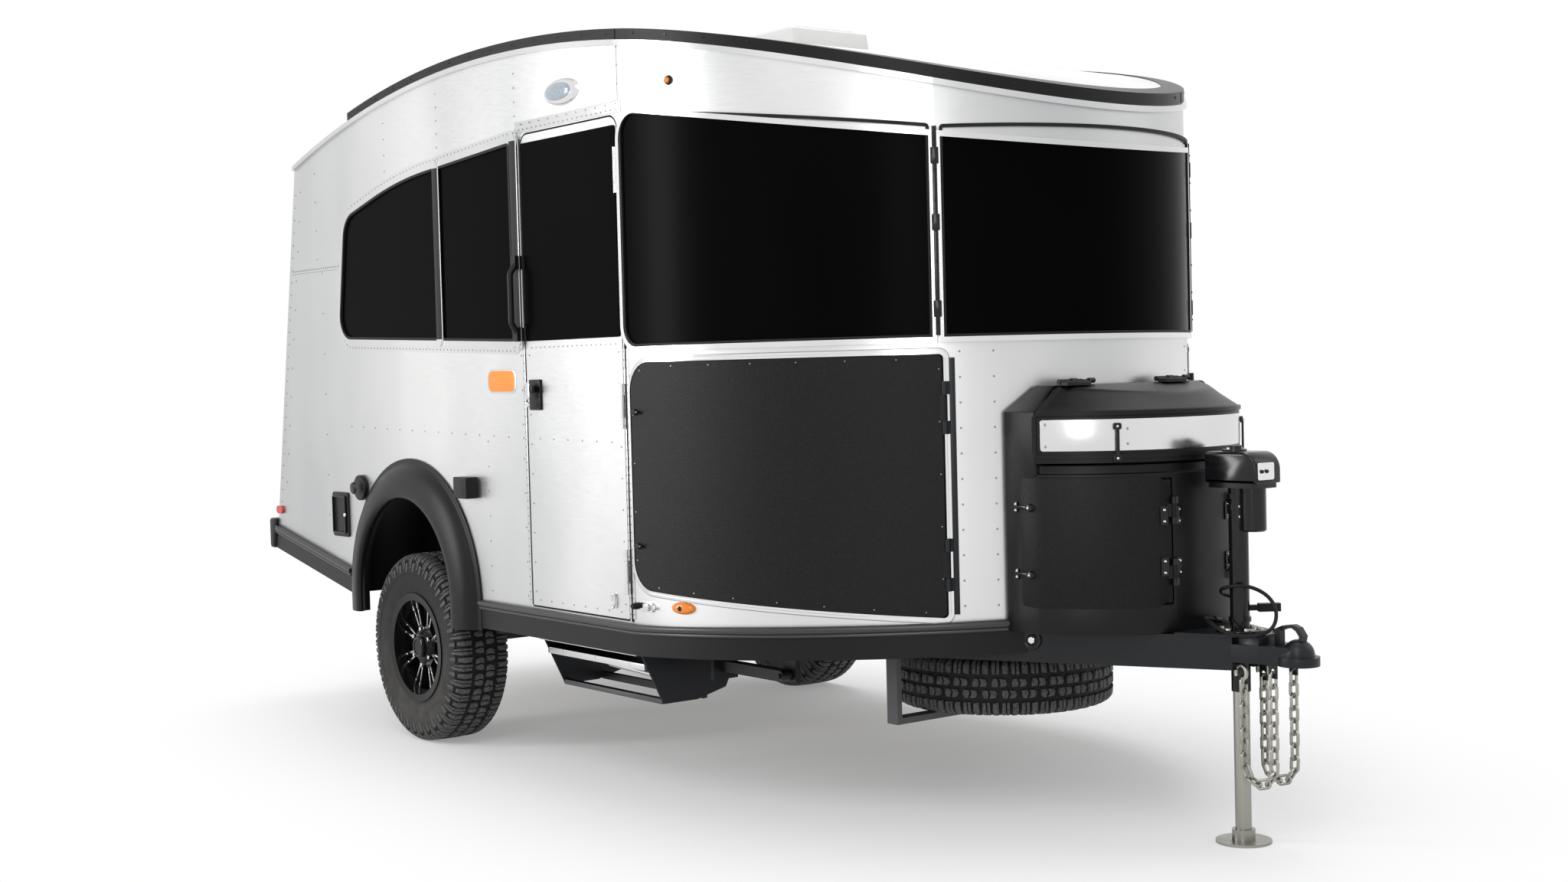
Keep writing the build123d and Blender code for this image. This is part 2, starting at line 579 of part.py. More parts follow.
# Flare section: (radius from the arch's centre, distance out from the skin)
flare_section = [
    (FLARE_OUTER, 0), (FLARE_OUTER - 4, 9), (FLARE_OUTER - 45, 14), (FLARE_OUTER - 70, 40),
    (FLARE_LIP + 12, FLARE_PROUD), (FLARE_LIP, FLARE_PROUD - 8), (FLARE_LIP + 8, FLARE_PROUD - 26),
    (ARCH_RADIUS - 30, 10), (ARCH_RADIUS - 12, 0)]
flare_face = make_face(Polyline(*[(r, -HALF_WIDTH - out, 0) for r, out in flare_section], close=True).edges())
flare = Pos(0, 0, ARCH_HEIGHT) * revolve(flare_face, Axis.Y, -180)
foot_face = Pos(0, 0, ARCH_HEIGHT) * flare_face
legs = extrude(foot_face, amount=ARCH_HEIGHT - FLARE_FOOT, dir=(0, 0, -1))
flare += legs + mirror(legs, about=Plane.YZ)

# Chassis
rail_band = sill_band(-MAIN_RAIL_DEPTH, 0)
cross_y = MAIN_RAIL_Y - MAIN_RAIL_WIDTH / 2
rail_outside = MAIN_RAIL_Y + MAIN_RAIL_WIDTH / 2
main_rail = rail_band & box(MAIN_RAIL_REAR, MAIN_RAIL_FRONT, -rail_outside, -cross_y, 0, FAR)
CROSS_SET = 12.0
cross_members = []
for station in CROSS_STATIONS:
    top = sill_height(station) - CROSS_SET
    rear, front = station - CROSS_WIDTH / 2, station + CROSS_WIDTH / 2
    cross_members.append(box(rear, front, -cross_y, cross_y, top - CROSS_DEPTH, top))

tongue = tongue_bar(0) & box(MAIN_RAIL_FRONT, TONGUE_END, -FAR, 0, 0, FAR)

# Corner steadies: (name, pivot station, pivot height, direction in which the stowed leg points, leg length)
steady_table = [("front", 2000.0, 440.0, -1, 330.0), ("rear", -1020.0, 560.0, 1, 380.0)]
ARM_HALF, ARM_DEPTH, ARM_SET, ARM_CHEEK, ARM_TAIL = 30.0, 60.0, 20.0, 20.0, 24.0
LEG_HALF, PAD_HALF, PAD_TALL, PAD_WIDE = 18.0, 8.0, 45.0, 30.0
steady_legs = {}
for name, station, height, way, length in steady_table:
    top = sill_height(station) - ARM_SET
    rear, front = station - ARM_HALF, station + ARM_HALF
    arm = box(rear, front, -STEADY_Y, -rail_outside, top - ARM_DEPTH, top)
    arm += box(rear, front, -STEADY_Y, -STEADY_Y + ARM_CHEEK, height - ARM_TAIL, top)
    arm += rod((station, -STEADY_Y, height), (station, -STEADY_Y - STEADY_LEG - 10, height), STEADY_PIN)
    cross_members += both_sides(arm)
    y0, y1 = -STEADY_Y - 3 - STEADY_LEG, -STEADY_Y - 3
    tip = way * length
    leg_bar = box(min(0, tip), max(0, tip), y0, y1, -LEG_HALF, LEG_HALF)
    leg_bar += Pos(0, (y0 + y1) / 2, 0) * Rot(90, 0, 0) * Cylinder(LEG_HALF, STEADY_LEG)
    leg_bar += box(tip - PAD_HALF, tip + PAD_HALF, y0 - PAD_WIDE, y1 + PAD_WIDE, -PAD_TALL, PAD_TALL)
    leg_bar -= rod((0, 0, 0), (0, 2 * y0, 0), STEADY_PIN + BEARING)
    steady_legs["steady_" + name] = Pos(station, 0, height) * leg_bar

# Axle
AXLE_HALF, SWING_INNER, SWING_OUTER, SPINDLE_OUT = 745.0, 742.0, 768.0, 76.0
HANGER_HALF, SWING_BOSS, HUB_BOSS, SWING_DEPTH = 50.0, 55.0, 45.0, 84.0
axle = box(TORSION_STATION - TORSION_SIZE / 2, TORSION_STATION + TORSION_SIZE / 2, -AXLE_HALF, AXLE_HALF,
           TORSION_HEIGHT - TORSION_SIZE / 2, TORSION_HEIGHT + TORSION_SIZE / 2)
arm_line = Vector(-TORSION_STATION, 0, TYRE_RADIUS - TORSION_HEIGHT)
for side in (-1, 1):
    y0, y1 = sorted((side * cross_y, side * rail_outside))
    axle += box(TORSION_STATION - HANGER_HALF, TORSION_STATION + HANGER_HALF, y0, y1,
                TORSION_HEIGHT, SILL - MAIN_RAIL_DEPTH)
    y0, y1 = sorted((side * SWING_INNER, side * SWING_OUTER))
    axle += rod((TORSION_STATION, y0, TORSION_HEIGHT), (TORSION_STATION, y1, TORSION_HEIGHT), SWING_BOSS)
    axle += rod((0, y0, TYRE_RADIUS), (0, y1, TYRE_RADIUS), HUB_BOSS)
    arm_plane = Plane(origin=(0, y0, TYRE_RADIUS), x_dir=-arm_line, z_dir=(0, 1, 0))
    bar = arm_plane * Pos(arm_line.length / 2, 0) * Rectangle(arm_line.length, SWING_DEPTH)
    axle += extrude(bar, amount=y1 - y0, dir=(0, 1, 0))
    axle += rod((0, (y0 + y1) / 2, TYRE_RADIUS), (0, side * (WHEEL_Y + SPINDLE_OUT), TYRE_RADIUS), SPINDLE)


# Wheels, drawn with the axis along Z and the outer side up
def turned(section):
    return revolve(make_face(Polyline(*[(r, 0, t) for r, t in section], close=True).edges()), Axis.Z)


BEAD_SETBACK = 17.0
BULGE = 85.0
SHOULDER_SETBACK = 26.0
TYRE_SIDES = 24
TREAD_DEPTH = 10.0
BEAD_LAP = 2.0


def flats(apothem, height):
    """A regular outline with one flat side straight down, so that the tyre stands on a flat."""
    outline = RegularPolygon(apothem, TYRE_SIDES, major_radius=False)
    return Pos(0, 0, height) * Rot(0, 0, 180 / TYRE_SIDES) * outline


def tyre_body(radius, tread, width, bead):
    """Carcass with flat-sided rings, still closed at the bore; tread is the reach of the tread's base."""
    half = width / 2
    flare = BEAD_SETBACK / (radius - BULGE - bead)
    rings = [(bead - BEAD_LAP, half - BEAD_SETBACK - BEAD_LAP * flare), (radius - BULGE, half),
             (radius - BULGE / 2, half - 4), (tread, half - SHOULDER_SETBACK)]
    low = [flats(apothem, -height) for apothem, height in rings]
    high = [flats(apothem, height) for apothem, height in reversed(rings)]
    return loft(low + high, ruled=True)


def bored(body, width, bead):
    return body - extrude(flats(bead, -width), amount=2 * width, dir=(0, 0, 1))


# Shoulder lugs: half-angle of the top, half-angle added at the root, reach past the shoulder, length across
LUG_HALF, LUG_FLANK, LUG_OVER, LUG_LENGTH = 4.2, 0.6, 6.5, 48.0
LUG_ROOT = 24.0


def lug_ring(radius, width):
    """One shoulder's lugs as a toothed disc whose roots lie inside the carcass."""
    tip = radius / cos(radians(LUG_HALF))
    profile = [(radius - LUG_ROOT, -LUG_HALF - LUG_FLANK), (tip, -LUG_HALF), (tip, LUG_HALF),
               (radius - LUG_ROOT, LUG_HALF + LUG_FLANK)]
    points = []
    for k in range(TYRE_SIDES):
        for reach, turn in profile:
            angle = radians(k * 360 / TYRE_SIDES + turn)
            points.append((reach * cos(angle), reach * sin(angle)))
    outer = width / 2 - SHOULDER_SETBACK + LUG_OVER
    disc = make_face(Polyline(*points, close=True).edges())
    return Pos(0, 0, outer - LUG_LENGTH) * extrude(disc, amount=LUG_LENGTH, dir=(0, 0, 1))


HUB, RIM_FACE = 62.0, 84.0


def rim_form(radius, bead, width, bore):
    drum = bead - SEAT
    low = width / 2 - BEAD_SETBACK + SEAT
    lip = 14.0
    half = low + lip * BEAD_SETBACK / (radius - BULGE - bead) + SEAT
    form = turned([(drum, -low), (drum, low), (drum + lip, half), (drum + lip, half + 6),
                   (drum - lip, half + 4), (drum - lip, -half - 4), (drum + lip, -half - 6), (drum + lip, -half)])
    disc_edge = drum - 6
    return form + turned([(bore, -30), (HUB, -30), (HUB, 40), (disc_edge, 52), (disc_edge, 72), (HUB, 66),
                          (HUB - 14, RIM_FACE), (bore, RIM_FACE)])


def spoke_windows(bead, width):
    """Eight wide windows and eight slots between paired spokes."""
    cuts = []
    # Openings: (first angle, half-angle, inner reach, outer reach)
    for start, half_angle, r0, r1 in ((0.0, 13.5, 82.0, bead - 24), (22.5, 3.2, 100.0, bead - 26)):
        for k in range(8):
            corners = []
            for r, way in ((r0, -1), (r1, -1), (r1, 1), (r0, 1)):
                angle = radians(start + k * 45.0 + way * half_angle)
                corners.append((r * cos(angle), r * sin(angle)))
            opening = make_face(Polyline(*corners, close=True).edges())
            cuts.append(extrude(opening, amount=width, dir=(0, 0, 1)))
    return cuts


rim = rim_form(TYRE_RADIUS, BEAD_RADIUS, TYRE_WIDTH, SPINDLE + BEARING)
rim -= spoke_windows(BEAD_RADIUS, TYRE_WIDTH)
rim += turned([(0, RIM_FACE), (42, RIM_FACE), (42, RIM_FACE + 8), (34, RIM_FACE + 14), (0, RIM_FACE + 14)])
lugs = lug_ring(TYRE_RADIUS, TYRE_WIDTH)
tyre = tyre_body(TYRE_RADIUS, TYRE_RADIUS - TREAD_DEPTH, TYRE_WIDTH, BEAD_RADIUS)
tyre += lugs + mirror(lugs, about=Plane.XY)
tyre = bored(tyre, TYRE_WIDTH, BEAD_RADIUS)
to_right = Pos(0, -WHEEL_Y, TYRE_RADIUS) * Rot(90, 0, 0)
rim_right, tyre_right = to_right * rim, to_right * tyre

# Spare wheel on its carrier
SPARE_BEAD = 200.0
spare_place = Pos(SPARE_STATION, 0, SPARE_HEIGHT)
spare_body = tyre_body(SPARE_RADIUS, SPARE_RADIUS, SPARE_WIDTH, SPARE_BEAD)
spare_tyre = spare_place * bored(spare_body, SPARE_WIDTH, SPARE_BEAD)
SPARE_BORE = 36.0
spare_rim = spare_place * Rot(180, 0, 0) * rim_form(SPARE_RADIUS, SPARE_BEAD, SPARE_WIDTH, SPARE_BORE)
CARRIER_HALF, CARRIER_BAR = 25.0, 20.0
carrier_rear, carrier_front = SPARE_STATION - CARRIER_HALF, SPARE_STATION + CARRIER_HALF
carrier_top = SPARE_HEIGHT - SPARE_WIDTH / 2 - SEAT
carrier_low = carrier_top - CARRIER_BAR
carrier_y = MAIN_RAIL_Y + CARRIER_BAR / 2
hanger_top = sill_height(carrier_rear) - MAIN_RAIL_DEPTH
carrier = box(carrier_rear, carrier_front, -carrier_y, carrier_y, carrier_low, carrier_top)
for side in (-1, 1):
    y0, y1 = sorted((side * carrier_y, side * (carrier_y - CARRIER_BAR)))
    carrier += box(carrier_rear, carrier_front, y0, y1, carrier_low, hanger_top)

# Tongue plate, coupler and chain eyes
PLATE_BEHIND, PLATE_AHEAD, PLATE_WIDE, PLATE_NARROW = 120.0, 110.0, 152.0, 62.0
plate_rear, plate_front = JACK_STATION - PLATE_BEHIND, JACK_STATION + PLATE_AHEAD
plate_corners = [(plate_rear, -PLATE_WIDE), (plate_front, -PLATE_NARROW), (plate_front, PLATE_NARROW),
                 (plate_rear, PLATE_WIDE)]
plate_face = make_face(Polyline(*plate_corners, close=True).edges())
top_plate = Pos(0, 0, TONGUE_TOP) * extrude(plate_face, amount=PLATE, dir=(0, 0, 1))
top_plate -= rod((JACK_STATION, 0, 0), (JACK_STATION, 0, FAR), JACK_TUBE + 1)


def domed(radius):
    """An upright cylinder with a half-round top, from the coupler's mouth up."""
    diagonal = radius * cos(radians(45))
    side, mid, top = (radius, 0, BALL_DEPTH), (diagonal, 0, BALL_DEPTH + diagonal), (0, 0, BALL_DEPTH + radius)
    edges = [
        Line((0, 0, 0), (radius, 0, 0)),
        Line((radius, 0, 0), side),
        ThreePointArc(side, mid, top),
        Line(top, (0, 0, 0)),
    ]
    return Pos(BALL_STATION, 0, COUPLER_LOW) * revolve(make_face([edge.edge() for edge in edges]), Axis.Z)


# Coupler plan: (station, half-width)
NECK_REACH, BLOCK_REACH, BLOCK_HALF, NECK_DROP = 100.0, 85.0, 60.0, 22.0
coupler_plan = [(TONGUE_END, 82.0), (TONGUE_END + NECK_REACH, 56.0), (BALL_STATION, 44.0)]
coupler_right = [(station, -half) for station, half in coupler_plan]
coupler_left = [(station, half) for station, half in reversed(coupler_plan)]
coupler_face = make_face(Polyline(*coupler_right, *coupler_left, close=True).edges())
neck_top = TONGUE_TOP - NECK_DROP
lip_top = COUPLER_LOW + COUPLER_LIP
coupler = Pos(0, 0, COUPLER_LOW) * extrude(coupler_face, amount=neck_top - COUPLER_LOW, dir=(0, 0, 1))
coupler += box(TONGUE_END, TONGUE_END + BLOCK_REACH, -BLOCK_HALF, BLOCK_HALF, COUPLER_LOW, TONGUE_TOP)
coupler += domed(DOME)
coupler += rod((BALL_STATION, 0, COUPLER_LOW), (BALL_STATION, 0, lip_top), COUPLER_TIP - BALL_STATION)
coupler -= domed(BALL_RADIUS)

# Coupler lever, an arch on a post with its toe on the dome: (ahead of the ball, above the neck)
LEVER_HALF = 11.0
lever_table = [(-82, 45), (-48, 59), (-14, 64), (8, 57), (25, 34), (20, 14), (8, 14), (10, 32), (-2, 47),
               (-16, 54), (-44, 49), (-56, 43), (-56, 0), (-76, 0), (-76, 36), (-82, 34)]
lever_outline = side_outline([(BALL_STATION + ahead, neck_top + rise) for ahead, rise in lever_table])
coupler_lever = side_prism(lever_outline, -LEVER_HALF, LEVER_HALF) - domed(DOME + SEAT)

# Chains: links hang from an eye under the coupler to an eye near the jack
LINK_LENGTH, LINK_WIDTH, LINK_WIRE = 54.0, 32.0, 8.0
LINK_SLACK = 1.6
CHAIN_Y = 46.0
CHAIN_FRONT, CHAIN_BACK = 3425.0, 3317.0
CHAIN_EYE = 520.0
CHAIN_LOW = 190.0
link_pitch = LINK_LENGTH - 2 * LINK_WIRE - LINK_SLACK


def link_form():
    half, flat, wide, wire = LINK_LENGTH / 2, LINK_LENGTH / 2 - LINK_WIDTH / 3, LINK_WIDTH / 2, LINK_WIRE
    outer = [(half, wide / 2), (flat, wide)]
    inner = [(half - wire, wide / 4), (flat - wire / 3, wide - wire)]
    faces = []
    for quarter in (outer, inner):
        upper = quarter + [(-x, y) for x, y in reversed(quarter)]
        lower = [(x, -y) for x, y in reversed(upper)]
        faces.append(make_face(Polyline(*upper, *lower, close=True).edges()))
    return Pos(0, 0, -wire / 2) * extrude(faces[0] - faces[1], amount=wire, dir=(0, 0, 1))


def chain_line(distance):
    """Point of the hanging chain at a distance along it from the front eye, in the side view."""
    bend = (CHAIN_FRONT - CHAIN_BACK) / 2
    straight = CHAIN_EYE - CHAIN_LOW - bend
    if distance < straight:
        return CHAIN_FRONT, CHAIN_EYE - distance
    arc = (distance - straight) / bend
    if arc < radians(180):
        return CHAIN_FRONT - bend + bend * cos(arc), CHAIN_LOW + bend - bend * sin(arc)
    return CHAIN_BACK, CHAIN_LOW + bend + (distance - straight - bend * radians(180))


chain_links = []
distance = 0.0
spots = [chain_line(0.0)]
while True:
    step = link_pitch
    ahead = chain_line(distance + step)
    while hypot(ahead[0] - spots[-1][0], ahead[1] - spots[-1][1]) < link_pitch - 0.01:
        step += 0.02
        ahead = chain_line(distance + step)
    if ahead[0] <= CHAIN_BACK + 0.001 and ahead[1] > CHAIN_EYE:
        break
    distance += step
    spots.append(ahead)
for index in range(len(spots) - 1):
    (x0, z0), (x1, z1) = spots[index], spots[index + 1]
    direction = Vector(x1 - x0, 0, z1 - z0)
    normal = Vector(0, 1, 0) if index % 2 else direction.cross(Vector(0, 1, 0))
    place = Plane(origin=((x0 + x1) / 2, -CHAIN_Y, (z0 + z1) / 2), x_dir=direction, z_dir=normal)
    chain_links.append(place * link_form())
last_x, last_z = spots[-1]
eyes = []
for x, z, top, turned_link in ((CHAIN_FRONT, CHAIN_EYE, COUPLER_LOW, False),
                               (last_x, last_z, COUPLER_LOW, len(spots) % 2 == 1)):
    hole_z = z + 7.3
    half_x, half_y = (3, 14) if turned_link else (14, 3)
    tab = box(x - half_x, x + half_x, -CHAIN_Y - half_y, -CHAIN_Y + half_y, z - 13, top)
    reach = Vector(40, 0) if turned_link else Vector(0, 40)
    centre = Vector(x, -CHAIN_Y, hole_z)
    eyes.append(tab - rod(centre - reach, centre + reach, 8))

# Jack
jack = rod((JACK_STATION, 0, JACK_LOW), (JACK_STATION, 0, JACK_HEAD_LOW), JACK_TUBE)
JACK_FLANGE = 70.0
HEAD_BEHIND, HEAD_AHEAD, HEAD_HALF, HEAD_BROW = 80.0, 115.0, 58.0, 51.0
MOTOR_AHEAD, MOTOR_LOW, MOTOR = 55.0, 923.0, 38.0
CAP_BEHIND, CAP_RISE, CAP = 10.0, 16.0, 22.0
LEG_TOP, LEG_BORE, FOOT_PLATE, FOOT_BOSS, BOSS_TOP = 840.0, 860.0, 8.0, 34.0, 40.0


def upright(ahead, low, high, radius):
    """An upright cylinder, placed along the tongue from the jack."""
    return rod((JACK_STATION + ahead, 0, low), (JACK_STATION + ahead, 0, high), radius)


jack += upright(0, TONGUE_TOP + PLATE, TONGUE_TOP + 2 * PLATE, JACK_FLANGE)
head_rear, head_front = JACK_STATION - HEAD_BEHIND, JACK_STATION + HEAD_AHEAD
head_outline = side_outline(
    [(head_rear, JACK_HEAD_LOW), (head_front, JACK_HEAD_LOW), (head_front, JACK_HEAD_TOP - HEAD_BROW),
     (head_front - HEAD_BROW, JACK_HEAD_TOP), (head_rear, JACK_HEAD_TOP)], [8.0, 8.0, 20.0, 30.0, 16.0])
jack += side_prism(head_outline, -HEAD_HALF, HEAD_HALF)
jack += upright(MOTOR_AHEAD, MOTOR_LOW, JACK_HEAD_LOW, MOTOR)
jack += upright(-CAP_BEHIND, JACK_HEAD_TOP, JACK_HEAD_TOP + CAP_RISE, CAP)
jack -= upright(0, JACK_LOW - 1, LEG_BORE, JACK_LEG + SEAT)
jack_leg = upright(0, FOOT_PLATE, LEG_TOP, JACK_LEG)
jack_leg += upright(0, 0, FOOT_PLATE, JACK_FOOT)
jack_leg += upright(0, FOOT_PLATE, BOSS_TOP, FOOT_BOSS)

# Breakaway switch: a case on an arm from the jack's tube, drawn pointing ahead and then turned to the left
SWITCH_HEIGHT, SWITCH_NEAR, SWITCH_FAR, SWITCH_HALF, SWITCH_TURN = 694.0, 54.0, 118.0, 12.0, 52.5
SWITCH_ARM = 8.0
switch_case = box(0, SWITCH_NEAR + 7, -SWITCH_ARM, SWITCH_ARM, -SWITCH_ARM, SWITCH_ARM)
switch_case += box(SWITCH_NEAR, SWITCH_FAR, -SWITCH_HALF - 1, SWITCH_HALF + 1, -SWITCH_HALF, SWITCH_HALF)
tube_room = upright(0, 0, FAR, JACK_TUBE + SEAT)
breakaway = Pos(JACK_STATION, 0, SWITCH_HEIGHT) * Rot(0, 0, SWITCH_TURN) * switch_case - tube_room

# Trailer cable: a loop hung round the jack from a gland on the tongue plate to a clamp behind the tube.
# Corners of its run: (ahead of the jack, left of it, above the tongue's top)
CABLE = 5.5
cable_table = [
    (-101, 7, 30), (-108, -19, 35), (-98, -52, 41), (-57, -80, 40), (-19, -97, 30), (26, -105, 17),
    (76, -100, 7), (126, -78, 10), (146, -41, 24), (136, -4, 48), (119, 17, 80), (95, 18, 111), (69, -2, 134),
    (43, -33, 146), (13, -55, 144), (-25, -52, 133), (-53, -23, 118), (-57, 11, 105), (-42, 40, 97)]
cable_points = [Vector(JACK_STATION + ahead, left, TONGUE_TOP + rise) for ahead, left, rise in cable_table]
cable_start, cable_finish = cable_points[0], cable_points[-1]
cable_radii = []
for before, corner, after in zip(cable_points, cable_points[1:], cable_points[2:]):
    turn = radians((corner - before).get_angle(after - corner))
    run = min((corner - before).length, (after - corner).length)
    cable_radii.append(0.45 * run / tan(turn / 2))
print("cable bend radii, mm:", [round(radius, 1) for radius in cable_radii])
cable_line = FilletPolyline(*cable_points, radius=cable_radii)
cable_section = Plane(origin=cable_start, z_dir=cable_points[1] - cable_start) * Circle(CABLE)
tongue_cable = sweep(cable_section, path=cable_line)
print("cable length and volume over section times length:", round(cable_line.length, 1),
      round(tongue_cable.volume / (cable_line.length * cable_section.area), 4))
GLAND, GLAND_LENGTH, GLAND_STEM = 10.0, 20.0, 7.0
gland_way = (cable_start - cable_points[1]).normalized()
clamp_way = (cable_finish - cable_points[-2]).normalized()
gland_mid = cable_start + gland_way * (GLAND_LENGTH / 2)
clamp_mid = cable_finish + clamp_way * (GLAND_LENGTH / 2)
gland = rod(cable_start, cable_start + gland_way * GLAND_LENGTH, GLAND)
gland += rod((gland_mid.X, gland_mid.Y, TONGUE_TOP + PLATE), gland_mid, GLAND_STEM)
clamp = rod(cable_finish, cable_finish + clamp_way * GLAND_LENGTH, GLAND)
clamp += rod((JACK_STATION, 0, clamp_mid.Z), clamp_mid, GLAND_STEM)
clamp -= tube_room


# Front box
def box_plan(inset):
    half, radius = BOX_HALF - inset, BOX_ARC - inset
    start = BOX_ARC_STATION + sqrt(radius * radius - half * half)
    back = BOX_ARC_STATION - BOX_HALF
    edges = [
        Line((back, -half), (start, -half)),
        ThreePointArc((start, -half), (BOX_ARC_STATION + radius, 0), (start, half)),
        Line((start, half), (back, half)),
        Line((back, half), (back, -half)),
    ]
    return make_face([edge.edge() for edge in edges])


def box_column(inset, low, high):
    return Pos(0, 0, low) * extrude(box_plan(inset), amount=high - low, dir=(0, 0, 1))


def box_cap(inset, low, top):
    """Upright side up to the shoulder, then a slope in to the flat top."""
    shoulder = BOX_SHOULDER - (BOX_TOP - top)
    cap = box_column(inset, low, shoulder)
    return cap + extrude(Pos(0, 0, shoulder) * box_plan(inset), amount=top - shoulder, taper=BOX_CHAMFER)


nose_clear = rod((nose_station, 0, 0), (nose_station, 0, FAR), nose_radius + RAIL_BAND_PROUD + CLEAR)
back_zone = box(0, BOX_BACK, -FAR, FAR, 0, FAR)
lid_zone = box(BOX_BACK + GAP, FAR, -FAR, FAR, 0, FAR)
inside_zone = box(BOX_BACK + BOX_WALL, FAR, -FAR, FAR, 0, FAR)
box_body = box_column(0, TONGUE_TOP, BOX_GROOVE_LOW)
box_body += box_column(BOX_GROOVE, BOX_GROOVE_LOW, BOX_LID_LOW - GAP)
box_body -= box_column(BOX_WALL + BOX_GROOVE, TONGUE_TOP + BOX_WALL, FAR) & inside_zone
box_body += box_cap(0, TONGUE_TOP, BOX_TOP) & back_zone
box_body -= nose_clear
box_lid = (box_cap(0, BOX_LID_LOW, BOX_TOP) - box_cap(BOX_WALL, 0, BOX_TOP - BOX_WALL)) & lid_zone
lid_back = box(BOX_BACK + GAP, BOX_BACK + GAP + BOX_WALL, -FAR, FAR, 0, FAR)
box_lid += box_cap(0, BOX_LID_LOW, BOX_TOP) & lid_back
lid_axis = Vector(BOX_BACK + GAP / 2, 0, BOX_TOP + KNUCKLE + LEAF)
lid_hinges = []
for y in (-265.0, 165.0):
    foot = Vector(lid_axis.X, y, lid_axis.Z)
    behind, ahead = foot + Vector(-LEAF_REACH, 0, -LEAF_DEPTH), foot + Vector(LEAF_REACH, 0, -LEAF_DEPTH)
    fixed, moving = hinge(foot, (0, 1, 0), LID_HINGE, behind, ahead)
    lid_hinges.append(fixed - nose_clear - box(0, FAR, -FAR, FAR, 0, BOX_TOP))
    box_lid += moving


def box_door_zone(grow):
    """The part of the box's skin that a side door takes: ahead of its rear edge and behind its hinge line."""
    turn = radians(BOX_DOOR_TURN)
    across = Vector(sin(turn), cos(turn)) * grow
    hinge_far = Vector(BOX_ARC_STATION + 2 * BOX_ARC * cos(turn), -2 * BOX_ARC * sin(turn)) + across
    rear = BOX_DOOR_REAR - grow
    far_y = -2 * BOX_ARC
    corners = [(rear, 0), (rear, far_y), (hinge_far.X, far_y), (hinge_far.X, hinge_far.Y),
               (BOX_ARC_STATION + across.X, across.Y)]
    zone = make_face(Polyline(*corners, close=True).edges())
    tall = BOX_DOOR_TOP - BOX_DOOR_LOW + 2 * grow
    return Pos(0, 0, BOX_DOOR_LOW - grow) * extrude(zone, amount=tall, dir=(0, 0, 1))


door_recess = (box_column(-BOX_WALL, 0, FAR) - box_column(BOX_WALL + GAP, 0, FAR)) & box_door_zone(GAP)
door_pass = box_column(0, 0, FAR) - box_column(BOX_WALL + 2 * BOX_GROOVE, 0, FAR)
door_recess += door_pass & box_door_zone(-BOX_WALL)
box_body -= door_recess + mirror(door_recess, about=Plane.XZ)
box_door = (box_column(0, 0, FAR) - box_column(BOX_WALL, 0, FAR)) & box_door_zone(0)
turn = radians(BOX_DOOR_TURN)
box_out = Vector(cos(turn), -sin(turn))
box_along = Vector(sin(turn), cos(turn))
box_axis = Vector(BOX_ARC_STATION, 0) + box_out * (BOX_ARC + KNUCKLE + LEAF) + box_along * (GAP / 2)
box_hinges = []
for low in (BOX_DOOR_LOW + 50, BOX_DOOR_TOP - 130):
    foot = Vector(box_axis.X, box_axis.Y, low)
    ahead = foot + box_along * LEAF_REACH - box_out * LEAF_DEPTH
    behind = foot - box_along * LEAF_REACH - box_out * LEAF_DEPTH
    fixed, moving = hinge(foot, (0, 0, 1), BOX_HINGE, ahead, behind)
    box_hinges.append(fixed - box_column(0, 0, FAR))
    box_door += moving

# Entry step: two cheeks, seen from the end as (left, height), and the treads and bars between them
STEP_REAR, STEP_FRONT, STEP_PLATE = 862.0, 1504.0, 6.0
cheek_table = [(-980, 555), (-rail_outside, 555), (-rail_outside, 505), (-600, 335), (-720, 305), (-860, 305)]
cheek_corners = [(STEP_REAR, left, height) for left, height in cheek_table]
cheek_face = make_face(Polyline(*cheek_corners, close=True).edges())
cheek = extrude(cheek_face, amount=STEP_PLATE, dir=(1, 0, 0))
entry_step = cheek + Pos(STEP_FRONT - STEP_REAR - STEP_PLATE, 0, 0) * cheek
# Treads and bars: (from and to across, from and to in height)
tread_table = [(-958, -700, 478, 500), (-925, -680, 425, 447), (-862, -835, 305, 320), (-700, -680, 305, 330),
               (-980, -930, 545, 555)]
for y0, y1, z0, z1 in tread_table:
    entry_step += box(STEP_REAR, STEP_FRONT, y0, y1, z0, z1)


# Lamps and fittings
def on_side(station, height, width, tall, out, corner):
    rear, front = station - width / 2, station + width / 2
    low, high = height - tall / 2, height + tall / 2
    sketch = side_outline([(rear, low), (front, low), (front, high), (rear, high)], [corner] * 4)
    return side_prism(sketch, -HALF_WIDTH - out, -HALF_WIDTH)


def on_nose(station, height, width, tall, out):
    """A lamp on the curved front: an oval pad square to the skin."""
    y = -skin_y(station)
    normal = Vector(station - SIDE_END, y - side_centre_y).normalized()
    root = Vector(station, y, height) - normal * LAMP_ROOT
    plane = Plane(origin=root, x_dir=(-normal.Y, normal.X, 0), z_dir=normal)
    return extrude(plane * Ellipse(width / 2, tall / 2), amount=out + LAMP_ROOT, dir=normal) - column(0)


